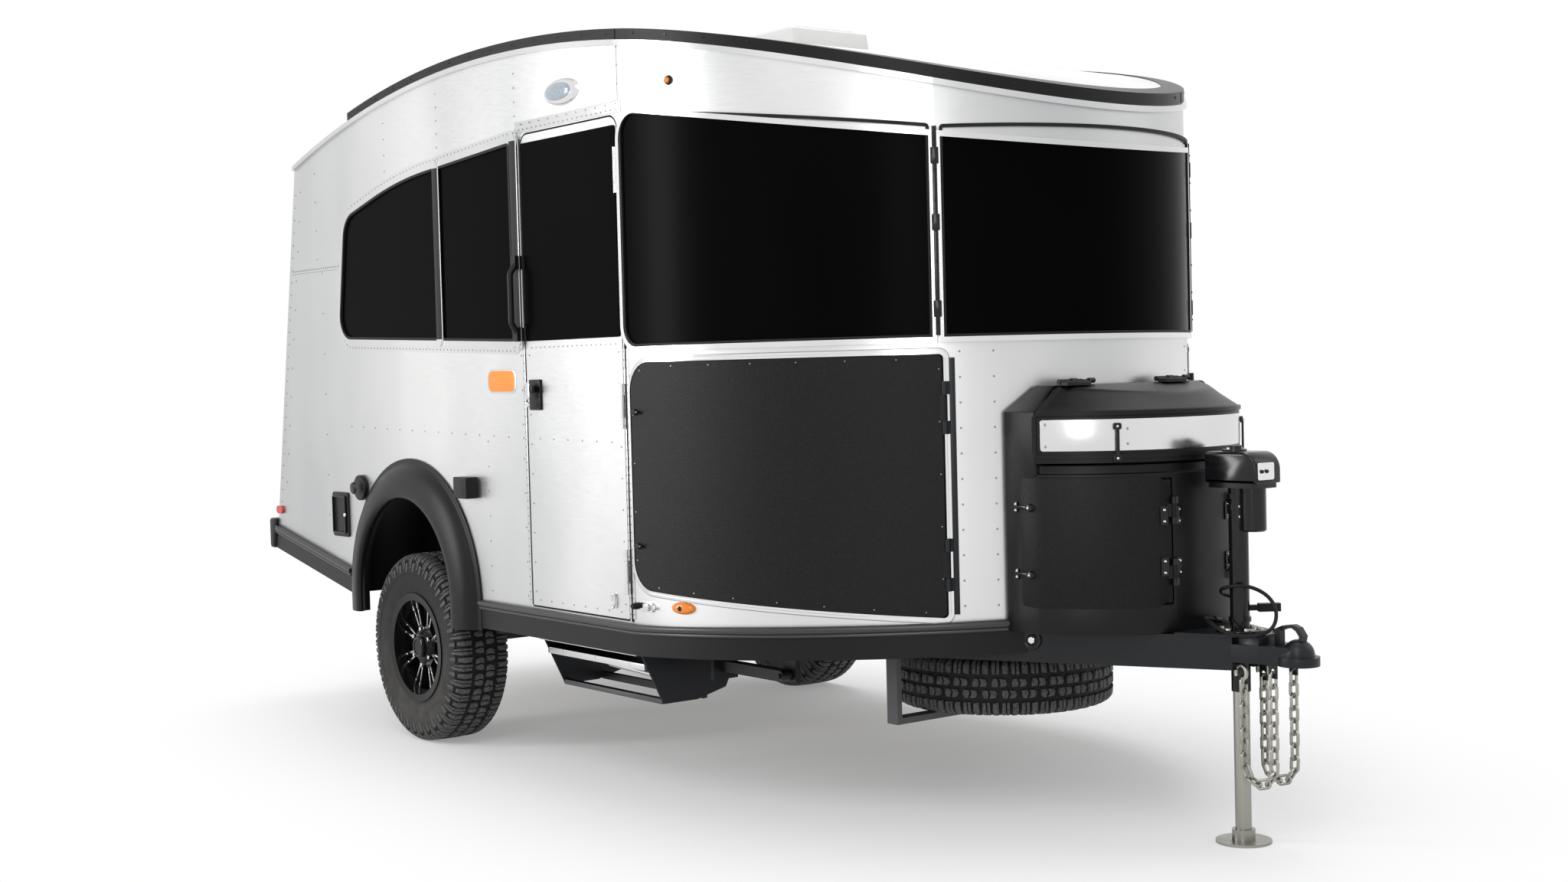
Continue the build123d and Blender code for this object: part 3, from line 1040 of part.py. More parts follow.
LAMP_ROOT = 4.0
UPPER_LAMP_DROP, LOWER_LAMP_RISE = 207.0, 68.0
amber_lamps = both_sides(on_nose(1816, CREST_HEIGHT - UPPER_LAMP_DROP, width=46, tall=46, out=20))
amber_lamps += both_sides(on_nose(1821, SILL + LOWER_LAMP_RISE, width=96, tall=42, out=14))
red_lamps = both_sides(on_side(-1262, 862, width=62, tall=34, out=10, corner=16.0))
REAR_LAMP_Y, REAR_LAMP_OUT = 800.0, 16.0
for y in (-REAR_LAMP_Y, REAR_LAMP_Y):
    for height, radius in ((1120.0, 62.0), (960.0, 50.0)):
        spot = Plane(origin=(rear_station(height), y, height), z_dir=rear_plane.z_dir)
        red_lamps.append(extrude(spot * Circle(radius), amount=REAR_LAMP_OUT, dir=rear_plane.z_dir))
PORCH_RISE = 112.0
porch_light = on_side(1211, door_top + PORCH_RISE, width=220, tall=78, out=26, corner=38.0)
service_door = on_side(-642, 868, width=150, tall=186, out=8, corner=14.0)
outlet_box = on_side(480, 1017, width=100, tall=80, out=50, corner=6.0)
INLET_STATION, INLET_HEIGHT, INLET_OUT, INLET = -438.0, 986.0, 18.0, 52.0
inlet_root = Vector(INLET_STATION, -HALF_WIDTH, INLET_HEIGHT)
water_inlet = rod(inlet_root, inlet_root - Vector(0, INLET_OUT, 0), INLET)

# Roof units
AC_STATION, AC_LENGTH, AC_WIDTH, AC_RISE = 150.0, 760.0, 660.0, 209.0
UNIT_SINK = 60.0
ac_low = under_roof(ROOF_RISE)
ac_sketch = Pos(AC_STATION, 0, CREST_HEIGHT - UNIT_SINK) * RectangleRounded(AC_LENGTH, AC_WIDTH, 90)
air_unit = extrude(ac_sketch, amount=AC_RISE + UNIT_SINK, taper=10) - ac_low
VENT_STATION, VENT_SIZE = 1250.0, 400.0
VENT_RISE = 90.0
vent_sketch = Pos(VENT_STATION, 0, CREST_HEIGHT - UNIT_SINK) * RectangleRounded(VENT_SIZE, VENT_SIZE, 40)
vent = extrude(vent_sketch, amount=VENT_RISE + UNIT_SINK, taper=8) - ac_low


def place(name, solids):
    """Write one node, moved so that the origin lies under the middle of the part's length."""
    shapes = solids if isinstance(solids, (list, tuple)) else [solids]
    flat = [solid for shape in shapes for solid in shape.solids()]
    export_step(Compound(children=[Pos(-middle, 0, 0) * solid for solid in flat]), f"parts/{name}.step")


hinge_pins = door_hinges + rear_hinges + lid_hinges
for halves in (hatch_hinges, box_hinges):
    for half in halves:
        hinge_pins += both_sides(half)

nodes = {
    "main_rails": both_sides(main_rail),
    "cross_members": cross_members,
    "tongue_rails": both_sides(tongue),
    "tongue_plate": top_plate,
    "coupler": coupler,
    "coupler_lever": coupler_lever,
    "tongue_cable": tongue_cable,
    "cable_glands": [gland, clamp],
    "chain_eyes": [part for eye in eyes for part in both_sides(eye)],
    "safety_chains": [part for link in chain_links for part in both_sides(link)],
    "axle": axle,
    "floor_deck": floor_deck,
    "belly_skirt": belly_skirt,
    "rub_rail": rub_rail,
    "rear_bumper": rear_bumper,
    "wall_right": wall_right,
    "wall_left": wall_left,
    "wall_front": wall_front,
    "wall_rear": wall_rear,
    "roof_panel": roof_panel,
    "roof_edge_trim": roof_trim,
    "drip_rail": drip_rail,
    "wheel_wells": both_sides(well),
    "fender_flares": both_sides(flare),
    "window_frames": frames,
    "window_glass": panes,
    "front_box_body": box_body,
    "tongue_jack": jack,
    "jack_leg": jack_leg,
    "breakaway_switch": breakaway,
    "spare_tyre": spare_tyre,
    "spare_rim": spare_rim,
    "spare_carrier": carrier,
    "entry_step": entry_step,
    "amber_lamps": amber_lamps,
    "red_lamps": red_lamps,
    "porch_light": porch_light,
    "grab_handle": grab_handle,
    "service_fittings": [service_door, outlet_box, water_inlet],
    "roof_air_conditioner": air_unit,
    "roof_vent": vent,
    "hinge_pins": hinge_pins,
    "tyre_right": tyre_right,
    "rim_right": rim_right,
    "tyre_left": mirror(tyre_right, about=Plane.XZ),
    "rim_left": mirror(rim_right, about=Plane.XZ),
    "entry_door": entry_door,
    "entry_door_glass": door_glass,
    "door_handle": door_handle,
    "front_hatch_right": hatch_right,
    "front_hatch_left": mirror(hatch_right, about=Plane.XZ),
    "box_lid": box_lid,
    "box_door_right": box_door,
    "box_door_left": mirror(box_door, about=Plane.XZ),
    "rear_hatch": rear_hatch,
    "rear_hatch_glass": rear_glass,
}
for name, leg_form in steady_legs.items():
    nodes[name + "_right"] = leg_form
    nodes[name + "_left"] = mirror(leg_form, about=Plane.XZ)

os.makedirs("parts", exist_ok=True)
for name, solids in nodes.items():
    place(name, solids)
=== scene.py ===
# %% [markdown]
# A small travel trailer: a riveted aluminium body on one axle, with dark glass, black mouldings, a
# moulded box on the tongue and a jack that it parks on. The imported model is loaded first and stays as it
# is. Every new piece is then laid on it in the same metres, so nothing has to be fitted afterwards.

# %% Load the frame
import json
from math import asin, cos, hypot, pi, radians, sin, sqrt, tan

import bmesh
import bpy
from mathutils import Matrix, Vector


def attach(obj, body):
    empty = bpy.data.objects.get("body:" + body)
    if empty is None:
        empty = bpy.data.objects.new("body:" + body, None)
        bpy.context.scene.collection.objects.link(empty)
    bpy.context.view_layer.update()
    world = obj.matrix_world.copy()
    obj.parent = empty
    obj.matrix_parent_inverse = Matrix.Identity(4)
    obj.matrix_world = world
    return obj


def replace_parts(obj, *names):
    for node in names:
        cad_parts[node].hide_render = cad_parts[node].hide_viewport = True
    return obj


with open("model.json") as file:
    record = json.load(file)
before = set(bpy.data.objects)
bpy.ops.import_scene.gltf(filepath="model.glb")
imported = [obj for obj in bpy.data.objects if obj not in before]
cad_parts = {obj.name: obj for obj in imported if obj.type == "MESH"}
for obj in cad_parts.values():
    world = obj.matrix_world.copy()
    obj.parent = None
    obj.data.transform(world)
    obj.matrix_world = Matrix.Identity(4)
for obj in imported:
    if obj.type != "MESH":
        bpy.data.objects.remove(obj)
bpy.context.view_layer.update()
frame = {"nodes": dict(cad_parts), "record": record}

nodes = frame["nodes"]

# %% [markdown]
# The photograph looks along the nose from ahead of the right side, a little above the box lid. A camera
# can be placed by eye, or solved from known points of the object. It was solved here from the trailer's
# own sizes, so a place, a turn, a tilt, a small roll and a focal length are all that it needs.

# %% Camera
TURN, TILT, ROLL = radians(52.47), radians(2.14), radians(-1.47)
EYE = Vector((6.035, -4.617, 1.438))
FOCAL_PIXELS, PHOTO_WIDTH, SENSOR = 2607.5, 2048.0, 36.0

back = Vector((sin(TURN) * cos(TILT), -cos(TURN) * cos(TILT), sin(TILT)))
level = Vector((cos(TURN), sin(TURN), 0.0))
upright = back.cross(level)
across = cos(ROLL) * level + sin(ROLL) * upright
upward = cos(ROLL) * upright - sin(ROLL) * level

lens = bpy.data.cameras.new("camera")
lens.sensor_width = SENSOR
lens.lens = SENSOR * FOCAL_PIXELS / PHOTO_WIDTH
camera = bpy.data.objects.new("camera", lens)
camera.matrix_world = Matrix.Translation(EYE) @ Matrix((across, upward, back)).transposed().to_4x4()
bpy.context.scene.collection.objects.link(camera)
bpy.context.scene.camera = camera
print("camera: lens", round(lens.lens, 2), "mm")

# %% [markdown]
# A catalogue picture of a trailer stands on endless white. The world is white where it is seen or
# mirrored, and softer where it lights the surfaces, so that white paper and bright metal stay below
# clipping. Three wide round lamps give the form, and two upright strips draw soft lines of light on the
# dark glass and mouldings. The floor takes their shadow under the trailer and fades into the white
# further out.

# %% Shader nodes


def shader_node(tree, kind, sockets=None, **settings):
    """A new shader node, whose sockets each take a value or a link."""
    made = tree.nodes.new("ShaderNode" + kind)
    for key, value in settings.items():
        setattr(made, key, value)
    for key, value in (sockets or {}).items():
        if isinstance(value, bpy.types.NodeSocket):
            tree.links.new(value, made.inputs[key])
        else:
            made.inputs[key].default_value = value
    return made


# %% World
WORLD_LIGHT = 0.62
bpy.context.scene.view_settings.view_transform = "Standard"
world = bpy.data.worlds.new("studio")
world.use_nodes = True
tree = world.node_tree
rays = shader_node(tree, "LightPath").outputs
# 1 for rays from the camera and for mirror and glass rays, 0 for rays that light a surface
seen = rays["Is Camera Ray"]
for name in ("Is Glossy Ray", "Is Transmission Ray"):
    seen = shader_node(tree, "Math", {0: seen, 1: rays[name]}, operation="MAXIMUM").outputs[0]
strength = shader_node(tree, "MapRange", {"Value": seen, "To Min": WORLD_LIGHT, "To Max": 1.0})
background = tree.nodes["Background"]
background.inputs["Color"].default_value = (1, 1, 1, 1)
tree.links.new(strength.outputs["Result"], background.inputs["Strength"])
bpy.context.scene.world = world
print("world: light", WORLD_LIGHT)

# %% Lamps
# place, target, size, watts, height of a strip
lamps = {
    "key_lamp": ((4.5, -6.5, 7.5), (0, 0, 1), 5.0, 210, None),
    "top_lamp": ((-1.0, 1.5, 8.0), (-0.5, 0, 1), 6.0, 330, None),
    "nose_lamp": ((6.5, 5.5, 6.0), (1, 0, 1), 5.0, 60, None),
    "front_strip": ((5.6, -6.2, 2.4), (1.8, -0.3, 0.95), 1.2, 60, 3.0),
    "side_strip": ((-3.1, -5.8, 2.4), (0.5, -1.0, 1.1), 1.2, 140, 3.0),
}
for name, (place, target, size, watts, tall) in lamps.items():
    lamp = bpy.data.lights.new(name, "AREA")
    lamp.shape, lamp.size, lamp.energy = "RECTANGLE" if tall else "DISK", size, watts
    if tall:
        lamp.size_y = tall
    holder = bpy.data.objects.new(name, lamp)
    holder.location = place
    holder.rotation_mode = "QUATERNION"
    holder.rotation_quaternion = (Vector(target) - Vector(place)).to_track_quat("-Z", "Y")
    bpy.context.scene.collection.objects.link(holder)
print("lamps:", len(lamps))

# %% Floor
FLOOR_SIZE, FLOOR_STRETCH, FLOOR_WHITE = 60.0, 0.62, 0.26
FADE_START, FADE_END = 1.0, 2.5
shape = bmesh.new()
bmesh.ops.create_circle(shape, cap_ends=True, segments=64, radius=FLOOR_SIZE)
mesh = bpy.data.meshes.new("floor")
shape.to_mesh(mesh)
shape.free()
paper = bpy.data.materials.new("floor_paper")
paper.use_nodes = True
tree = paper.node_tree
matte = tree.nodes["Principled BSDF"]
for key, value in (("Base Color", (0.9, 0.9, 0.9, 1)), ("Roughness", 1.0), ("Specular IOR Level", 0.0)):
    matte.inputs[key].default_value = value
spot = shader_node(tree, "TexCoord").outputs["Object"]
squeeze = shader_node(tree, "Mapping", {"Vector": spot, "Scale": (FLOOR_STRETCH, 1.0, 1.0)})
reach = shader_node(tree, "VectorMath", {0: squeeze.outputs["Vector"]}, operation="LENGTH")
fade = shader_node(tree, "MapRange", {"Value": reach.outputs["Value"], "From Min": FADE_START,
                                      "From Max": FADE_END, "To Min": FLOOR_WHITE},
                   interpolation_type="SMOOTHSTEP")
white = shader_node(tree, "Emission")
mix = shader_node(tree, "MixShader", {0: fade.outputs["Result"], 1: matte.outputs[0], 2: white.outputs[0]})
tree.links.new(mix.outputs[0], tree.nodes["Material Output"].inputs["Surface"])
mesh.materials.append(paper)
floor = bpy.data.objects.new("floor", mesh)
bpy.context.scene.collection.objects.link(floor)
print("floor: plain white from", FADE_END, "m out")

# %% [markdown]
# Sheet metal, moulded plastic and rubber share a few effects: rolling marks and slight waves in the
# sheet, a leathery grain in the mouldings, and road dust low down. Each effect is built once as a node
# group that gives out tones, masks and normals, and each material then sets its own scale and strength.

# %% Effect builder


class Effect:
    """A node group under construction: its sockets, its nodes and the links between them."""

    def __init__(self, name, inputs, outputs):
        self.tree = bpy.data.node_groups.new(name, "ShaderNodeTree")
        for label, start in inputs.items():
            socket = self.tree.interface.new_socket(label, in_out="INPUT", socket_type="NodeSocketFloat")
            socket.default_value = start
        for label, kind in outputs.items():
            self.tree.interface.new_socket(label, in_out="OUTPUT", socket_type="NodeSocket" + kind)
        self.given = self.tree.nodes.new("NodeGroupInput")
        self.made = self.tree.nodes.new("NodeGroupOutput")
        self.spot = self.tree.nodes.new("ShaderNodeTexCoord").outputs["Object"]

    def node(self, kind, sockets, **settings):
        return shader_node(self.tree, kind, sockets, **settings)

    def noise(self, vector, scale, detail, roughness):
        sockets = {"Vector": vector, "Scale": scale, "Detail": detail, "Roughness": roughness}
        return self.node("TexNoise", sockets).outputs["Fac"]

    def give(self, label, socket):
        self.tree.links.new(socket, self.made.inputs[label])


# %% Three effects


def rolled_sheet():
    """Rolled sheet metal: broad soft tones, fine rolling marks, and a normal with slight waves."""
    effect = Effect("rolled_sheet", {"Wave": 0.0016, "Marks": 0.00002},
                    {"Tone": "Float", "Streak": "Float", "Normal": "Vector"})
    wave_depth, mark_depth = effect.given.outputs["Wave"], effect.given.outputs["Marks"]
    broad = effect.node("Mapping", {"Vector": effect.spot, "Scale": (1.1, 1.1, 0.45)})
    tone = effect.noise(broad.outputs[0], 1.3, 2.0, 0.45)
    fine = effect.node("Mapping", {"Vector": effect.spot, "Scale": (3.0, 3.0, 140.0)})
    streak = effect.noise(fine.outputs[0], 5.0, 3.0, 0.6)
    wave = effect.noise(effect.spot, 3.4, 1.0, 0.4)
    dent = effect.node("Bump", {"Strength": 1.0, "Distance": wave_depth, "Height": wave})
    brushed = effect.node("Bump", {"Strength": 1.0, "Distance": mark_depth, "Height": streak,
                                   "Normal": dent.outputs[0]})
    effect.give("Tone", tone)
    effect.give("Streak", streak)
    effect.give("Normal", brushed.outputs[0])
    return effect.tree


def moulded_grain():
    """The pebbled surface of a moulding: a normal, and a speckle for its colour and gloss."""
    effect = Effect("moulded_grain", {"Scale": 700.0, "Depth": 0.0002},
                    {"Speckle": "Float", "Normal": "Vector"})
    scale, depth = effect.given.outputs["Scale"], effect.given.outputs["Depth"]
    pebble = effect.noise(effect.spot, scale, 2.0, 0.6)
    bump = effect.node("Bump", {"Strength": 1.0, "Distance": depth, "Height": pebble})
    effect.give("Speckle", pebble)
    effect.give("Normal", bump.outputs[0])
    return effect.tree


def road_dust():
    """A mask for dust: strongest near the ground, broken up by patches."""
    effect = Effect("road_dust", {"Height": 0.7, "Patch": 9.0}, {"Mask": "Float"})
    height, size = effect.given.outputs["Height"], effect.given.outputs["Patch"]
    parts = effect.node("SeparateXYZ", {0: effect.spot})
    low = effect.node("MapRange", {"Value": parts.outputs["Z"], "From Min": 0.0, "From Max": height,
                                   "To Min": 1.0, "To Max": 0.0})
    patch = effect.noise(effect.spot, size, 5.0, 0.65)
    both = effect.node("Math", {0: low.outputs[0], 1: patch}, operation="MULTIPLY")
    effect.give("Mask", both.outputs[0])
    return effect.tree


SHEET, GRAIN, DUST = rolled_sheet(), moulded_grain(), road_dust()
print("effects:", SHEET.name, GRAIN.name, DUST.name)

# %% [markdown]
# A finish is one Principled shader. Values that are the same all over are set on its sockets. Only what
# really changes over the surface, such as a sheet's tone or a tyre's dust, comes through links from the
# groups.

# %% Finish
# nearly all values of a noise lie between these
TONE_LOW, TONE_HIGH = 0.3, 0.7


class Finish:
    """A material with one Principled shader and helpers to link the shared effects into it."""

    def __init__(self, name, colour, roughness, metallic=0.0, specular=0.5, coat=0.0):
        self.material = bpy.data.materials.new(name)
        self.material.use_nodes = True
        self.tree = self.material.node_tree
        self.shader = self.tree.nodes["Principled BSDF"]
        settings = {"Base Color": (*colour, 1.0), "Roughness": roughness, "Metallic": metallic,
                    "Specular IOR Level": specular, "Coat Weight": coat, "Coat Roughness": 0.05}
        for key, value in settings.items():
            self.shader.inputs[key].default_value = value

    def effect(self, group, **values):
        return shader_node(self.tree, "Group", values, node_tree=group)

    def normal(self, node):
        self.tree.links.new(node.outputs["Normal"], self.shader.inputs["Normal"])

    def blend_colour(self, mask, low_colour, high_colour, low=TONE_LOW, high=TONE_HIGH):
        ramp = shader_node(self.tree, "ValToRGB", {0: mask})
        for stop, place, colour in zip(ramp.color_ramp.elements, (low, high), (low_colour, high_colour)):
            stop.position, stop.color = place, (*colour, 1)
        self.tree.links.new(ramp.outputs[0], self.shader.inputs["Base Color"])

    def blend_roughness(self, mask, low_value, high_value):
        sockets = {"Value": mask, "From Min": TONE_LOW, "From Max": TONE_HIGH, "To Min": low_value,
                   "To Max": high_value}
        span = shader_node(self.tree, "MapRange", sockets)
        self.tree.links.new(span.outputs[0], self.shader.inputs["Roughness"])


# %% Kinds of finish


def sheet_finish(name, dark, light, roughness, wave, marks):
    finish = Finish(name, light, roughness, metallic=1.0)
    sheet = finish.effect(SHEET, Wave=wave, Marks=marks)
    finish.normal(sheet)
    finish.blend_colour(sheet.outputs["Tone"], dark, light)
    finish.blend_roughness(sheet.outputs["Streak"], roughness * 0.85, roughness * 1.2)
    return finish.material


def grained_finish(name, dark, light, roughness, scale, depth, specular):
    finish = Finish(name, dark, roughness, specular=specular)
    grain = finish.effect(GRAIN, Scale=scale, Depth=depth)
    finish.normal(grain)
    finish.blend_colour(grain.outputs["Speckle"], dark, light)
    finish.blend_roughness(grain.outputs["Speckle"], roughness * 0.9, roughness * 1.1)
    return finish.material


def rubber_finish():
    finish = Finish("tyre_rubber", (0.018, 0.018, 0.018), 0.72, specular=0.22)
    grain = finish.effect(GRAIN, Scale=420.0, Depth=0.00018)
    dust = finish.effect(DUST, Height=0.75, Patch=16.0)
    finish.normal(grain)
    finish.blend_colour(dust.outputs["Mask"], (0.014, 0.014, 0.014), (0.075, 0.072, 0.066), 0.1, 0.75)
    return finish.material


def lens_finish(name, colour):
    finish = Finish(name, colour, 0.18, specular=0.4, coat=0.5)
    ribs = finish.effect(GRAIN, Scale=160.0, Depth=0.0006)
    finish.normal(ribs)
    finish.blend_colour(ribs.outputs["Speckle"], tuple(0.7 * x for x in colour), colour)
    return finish.material


def glass_finish():
    finish = Finish("dark_glass", (0.001, 0.001, 0.0012), 0.26, specular=0.014)
    ripple = finish.effect(SHEET, Wave=0.0002, Marks=0.0)
    finish.normal(ripple)
    finish.blend_colour(ripple.outputs["Tone"], (0.0006, 0.0006, 0.0008), (0.002, 0.002, 0.0023))
    return finish.material


# %% Table of finishes
# Sheet metals: darkest and lightest tone, roughness, depth of the waves and of the rolling marks
sheets = {
    "satin_aluminium": ((0.50, 0.505, 0.51), (0.71, 0.71, 0.707), 0.34, 0.0022, 0.00003),
    "bright_aluminium": ((0.56, 0.565, 0.57), (0.76, 0.76, 0.76), 0.22, 0.0004, 0.00003),
    # a darker copy of the aluminium for rivet heads, seams and edge lines: painted shade on their small
    # domes and steps
    "rivet_heads": ((0.22, 0.22, 0.22), (0.34, 0.34, 0.34), 0.4, 0.0002, 0.00002),
    "zinc_steel": ((0.20, 0.20, 0.185), (0.47, 0.46, 0.41), 0.34, 0.0004, 0.00005),
    "chrome": ((0.62, 0.62, 0.63), (0.78, 0.78, 0.79), 0.12, 0.0002, 0.00001),
}
# Grained finishes: darkest and lightest colour, roughness, grain scale and depth, specular level
grained = {
    "black_moulding": ((0.002, 0.002, 0.0023), (0.005, 0.005, 0.0054), 0.36, 850.0, 0.00022, 0.22),
    "sparkle_panel": ((0.0004, 0.0004, 0.0005), (0.011, 0.011, 0.0115), 0.38, 300.0, 0.0011, 0.17),
    "black_paint": ((0.004, 0.0045, 0.006), (0.008, 0.0095, 0.012), 0.36, 300.0, 0.00008, 0.3),
    "gloss_black": ((0.004, 0.004, 0.005), (0.007, 0.007, 0.008), 0.16, 60.0, 0.00005, 0.32),
    "black_alloy": ((0.004, 0.004, 0.004), (0.008, 0.008, 0.008), 0.22, 120.0, 0.00004, 0.16),
    "grey_steel": ((0.05, 0.052, 0.054), (0.08, 0.082, 0.085), 0.45, 260.0, 0.0001, 0.4),
    "white_plastic": ((0.66, 0.66, 0.65), (0.74, 0.74, 0.73), 0.42, 500.0, 0.0001, 0.4),
    "deck_wood": ((0.1, 0.075, 0.05), (0.17, 0.13, 0.09), 0.6, 90.0, 0.0004, 0.3),
    "dark_rubber": ((0.004, 0.004, 0.004), (0.009, 0.009, 0.009), 0.55, 500.0, 0.0001, 0.2),
    "dark_strip": ((0.010, 0.010, 0.011), (0.016, 0.016, 0.017), 0.4, 300.0, 0.00005, 0.16),
    "orange_paint": ((0.80, 0.235, 0.02), (0.88, 0.27, 0.03), 0.35, 240.0, 0.00008, 0.4),
    # a lighter grey than the black moulding, with a real satin gloss: painted sheen for the rail's upper
    # half
    "rail_satin": ((0.020, 0.020, 0.021), (0.030, 0.030, 0.031), 0.34, 700.0, 0.00008, 0.5),
    "tread_rubber": ((0.022, 0.022, 0.022), (0.105, 0.105, 0.104), 0.6, 150.0, 0.0003, 0.3),
}
lenses = {"amber_lens": (0.9, 0.24, 0.01), "red_lens": (0.5, 0.012, 0.012), "pale_lens": (0.34, 0.40, 0.46)}

finishes = {"tyre_rubber": rubber_finish(), "dark_glass": glass_finish()}
for name, settings in sheets.items():
    finishes[name] = sheet_finish(name, *settings)
for name, settings in grained.items():
    finishes[name] = grained_finish(name, *settings)
for name, colour in lenses.items():
    finishes[name] = lens_finish(name, colour)
print("finishes:", len(finishes))

# %% [markdown]
# Each CAD node keeps its own mesh and takes a finish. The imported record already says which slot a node
# belongs to, so most nodes only look their finish up by that name. The storage hatches and the box's
# doors have a coarser, sparkling paint than the frames that share their slot.

# %% Finish every node
slot_of = {}
for row in frame["record"]["subparts"]:
    slot_of[row["node"]] = row["material_slot"]

special = {"front_hatch_right": "sparkle_panel", "front_hatch_left": "sparkle_panel",
           "box_door_right": "sparkle_panel", "box_door_left": "sparkle_panel"}
for name, node in nodes.items():
    finish = special.get(name) or slot_of.get(name, "black_paint")
    node.data.materials.clear()
    node.data.materials.append(finishes[finish])
print("nodes finished:", len(nodes), "slots known:", len(slot_of))

# %% [markdown]
# Nearly every small piece of a trailer is a plate, a strip, a bead or a rivet that lies on the skin. Each
# could be placed by hand, but the skin is curved in plan. So pieces are drawn flat, with x along the
# wall, y up and z out of it, and are then wrapped on the wall: every point is moved to the wall's own
# line at that run.

# %% The skin's line
AXLE = -1.065
HALF_WIDTH, SIDE_END, SIDE_RADIUS, NOSE_TURN = 1.010, 1.550, 1.449, radians(46.4)
SIDE_ARC = SIDE_RADIUS * NOSE_TURN
corner_station = SIDE_END + SIDE_RADIUS * sin(NOSE_TURN)
corner_out = SIDE_RADIUS * cos(NOSE_TURN) - (SIDE_RADIUS - HALF_WIDTH)
nose_radius = corner_out / cos(NOSE_TURN)
nose_station = corner_station - nose_radius * sin(NOSE_TURN)
nose_run = SIDE_END + SIDE_ARC + nose_radius * (pi / 2 - NOSE_TURN)


def skin(run):
    """Point and outward direction of the wall seen from above, at a run along it from above the axle."""
    if run > nose_run:
        point, out = skin(2 * nose_run - run)
        return Vector((point.x, -point.y)), Vector((out.x, -out.y))
    if run < SIDE_END:
        return Vector((run, -HALF_WIDTH)), Vector((0, -1))
    if run < SIDE_END + SIDE_ARC:
        turn = (run - SIDE_END) / SIDE_RADIUS
        out = Vector((sin(turn), -cos(turn)))
        return Vector((SIDE_END, SIDE_RADIUS - HALF_WIDTH)) + out * SIDE_RADIUS, out
    turn = NOSE_TURN + (run - SIDE_END - SIDE_ARC) / nose_radius
    out = Vector((sin(turn), -cos(turn)))
    return Vector((nose_station, 0)) + out * nose_radius, out


def run_to(station):
    """Run along the right wall to a station ahead of the axle."""
    if station < SIDE_END:
        return station
    if station < corner_station:
        return SIDE_END + SIDE_RADIUS * asin((station - SIDE_END) / SIDE_RADIUS)
    return SIDE_END + SIDE_ARC + nose_radius * (asin((station - nose_station) / nose_radius) - NOSE_TURN)


def wall(run, height, out):
    """A point on the right wall and round the nose, lifted off it by out."""
    point, outward = skin(run)
    return Vector((point.x + outward.x * out + AXLE, point.y + outward.y * out, height))


print("nose: run", round(nose_run, 3), "radius", round(nose_radius, 3))

# %% The rear wall and the box face
REAR_LEAN, REAR_TOP, REAR_EDGE = radians(10.97), 2.330, -1.0


def rear(across_y, height, out):
    """A point on the leaning rear wall; across_y runs to the trailer's right as seen from behind it."""
    x = REAR_EDGE - (REAR_TOP - height) * tan(REAR_LEAN) + AXLE
    return Vector((x - cos(REAR_LEAN) * out, -across_y, height + sin(REAR_LEAN) * out))


BOX_STATION, BOX_ARC, BOX_HALF = 2.700, 0.447, 0.420
BOX_TURN = asin(BOX_HALF / BOX_ARC)


def box_face(along, height, out):
    """A point on the front box's round face; along runs to the trailer's left from its middle."""
    turn = max(-BOX_TURN, min(BOX_TURN, along / BOX_ARC))
    past = abs(along) - BOX_ARC * BOX_TURN
    if past > 0:
        side = 1 if along > 0 else -1
        return Vector((BOX_STATION + AXLE + BOX_ARC * cos(turn) - past, side * (BOX_HALF + out), height))
    reach = BOX_ARC + out
    return Vector((BOX_STATION + AXLE + reach * cos(turn), reach * sin(turn), height))


print("box: face turns", round(BOX_TURN, 3), "each way")

# %% [markdown]
# A few simple shapes make nearly all pieces: plates, pegs, turned rings and beads. They are drawn at the
# origin and then placed. A finished piece gets smooth faces with sharp edges where it turns, a finish and
# a body to ride.

# %% Placing and cutting
TINY, PROBE = 0.00001, 0.01


def add(whole, part, place=None):
    """Adds one shape to another, moved by place."""
    if place is not None:
        bmesh.ops.transform(part, matrix=place, verts=part.verts)
    mesh = bpy.data.meshes.new("part")
    part.to_mesh(mesh)
    part.free()
    whole.from_mesh(mesh)
    bpy.data.meshes.remove(mesh)


def joined(*rows):
    """One shape from rows of a shape and its place."""
    whole = bmesh.new()
    for shape, place in rows:
        add(whole, shape, place)
    return whole


def at(x, y, z):
    return Matrix.Translation((x, y, z))


def stand(surface, u, v, out=0.0):
    """A placing on a surface: z out of it, y up along it."""
    foot = surface(u, v, out)
    outward = (surface(u, v, out + PROBE) - foot).normalized()
    upward = (surface(u, v + PROBE, out) - foot).normalized()
    return at(*foot) @ Matrix((upward.cross(outward), upward, outward)).transposed().to_4x4()


def chosen(items, kind):
    return [item for item in items if isinstance(item, kind)]


def everything(shape):
    return shape.verts[:] + shape.edges[:] + shape.faces[:]


def bevelled(shape, items, width, segments=2, affect="EDGES", **more):
    """Rounds some edges or corners of a shape."""
    bmesh.ops.bevel(shape, geom=items, offset=width, offset_type="OFFSET", affect=affect, segments=segments,
                    profile=0.5, material=-1, **more)


def cut_across(shape, place, facing):
    """Cuts new edges into a shape along a plane."""
    bmesh.ops.bisect_plane(shape, geom=everything(shape), dist=TINY, plane_co=place, plane_no=facing)


# %% Flat shapes
RIM_ANGLE = 0.8


def thicken(shape, thick, edge=0.0):
    """Raises flat faces into a closed plate and rounds the upper edge."""
    raised = bmesh.ops.extrude_face_region(shape, geom=shape.faces[:])
    top = chosen(raised["geom"], bmesh.types.BMVert)
    bmesh.ops.translate(shape, vec=(0, 0, thick), verts=top)
    bmesh.ops.recalc_face_normals(shape, faces=shape.faces)
    if edge:
        upper = set(top)
        level = [line for line in shape.edges if line.verts[0] in upper and line.verts[1] in upper]
        bevelled(shape, [line for line in level if line.calc_face_angle(0.0) > RIM_ANGLE], edge)


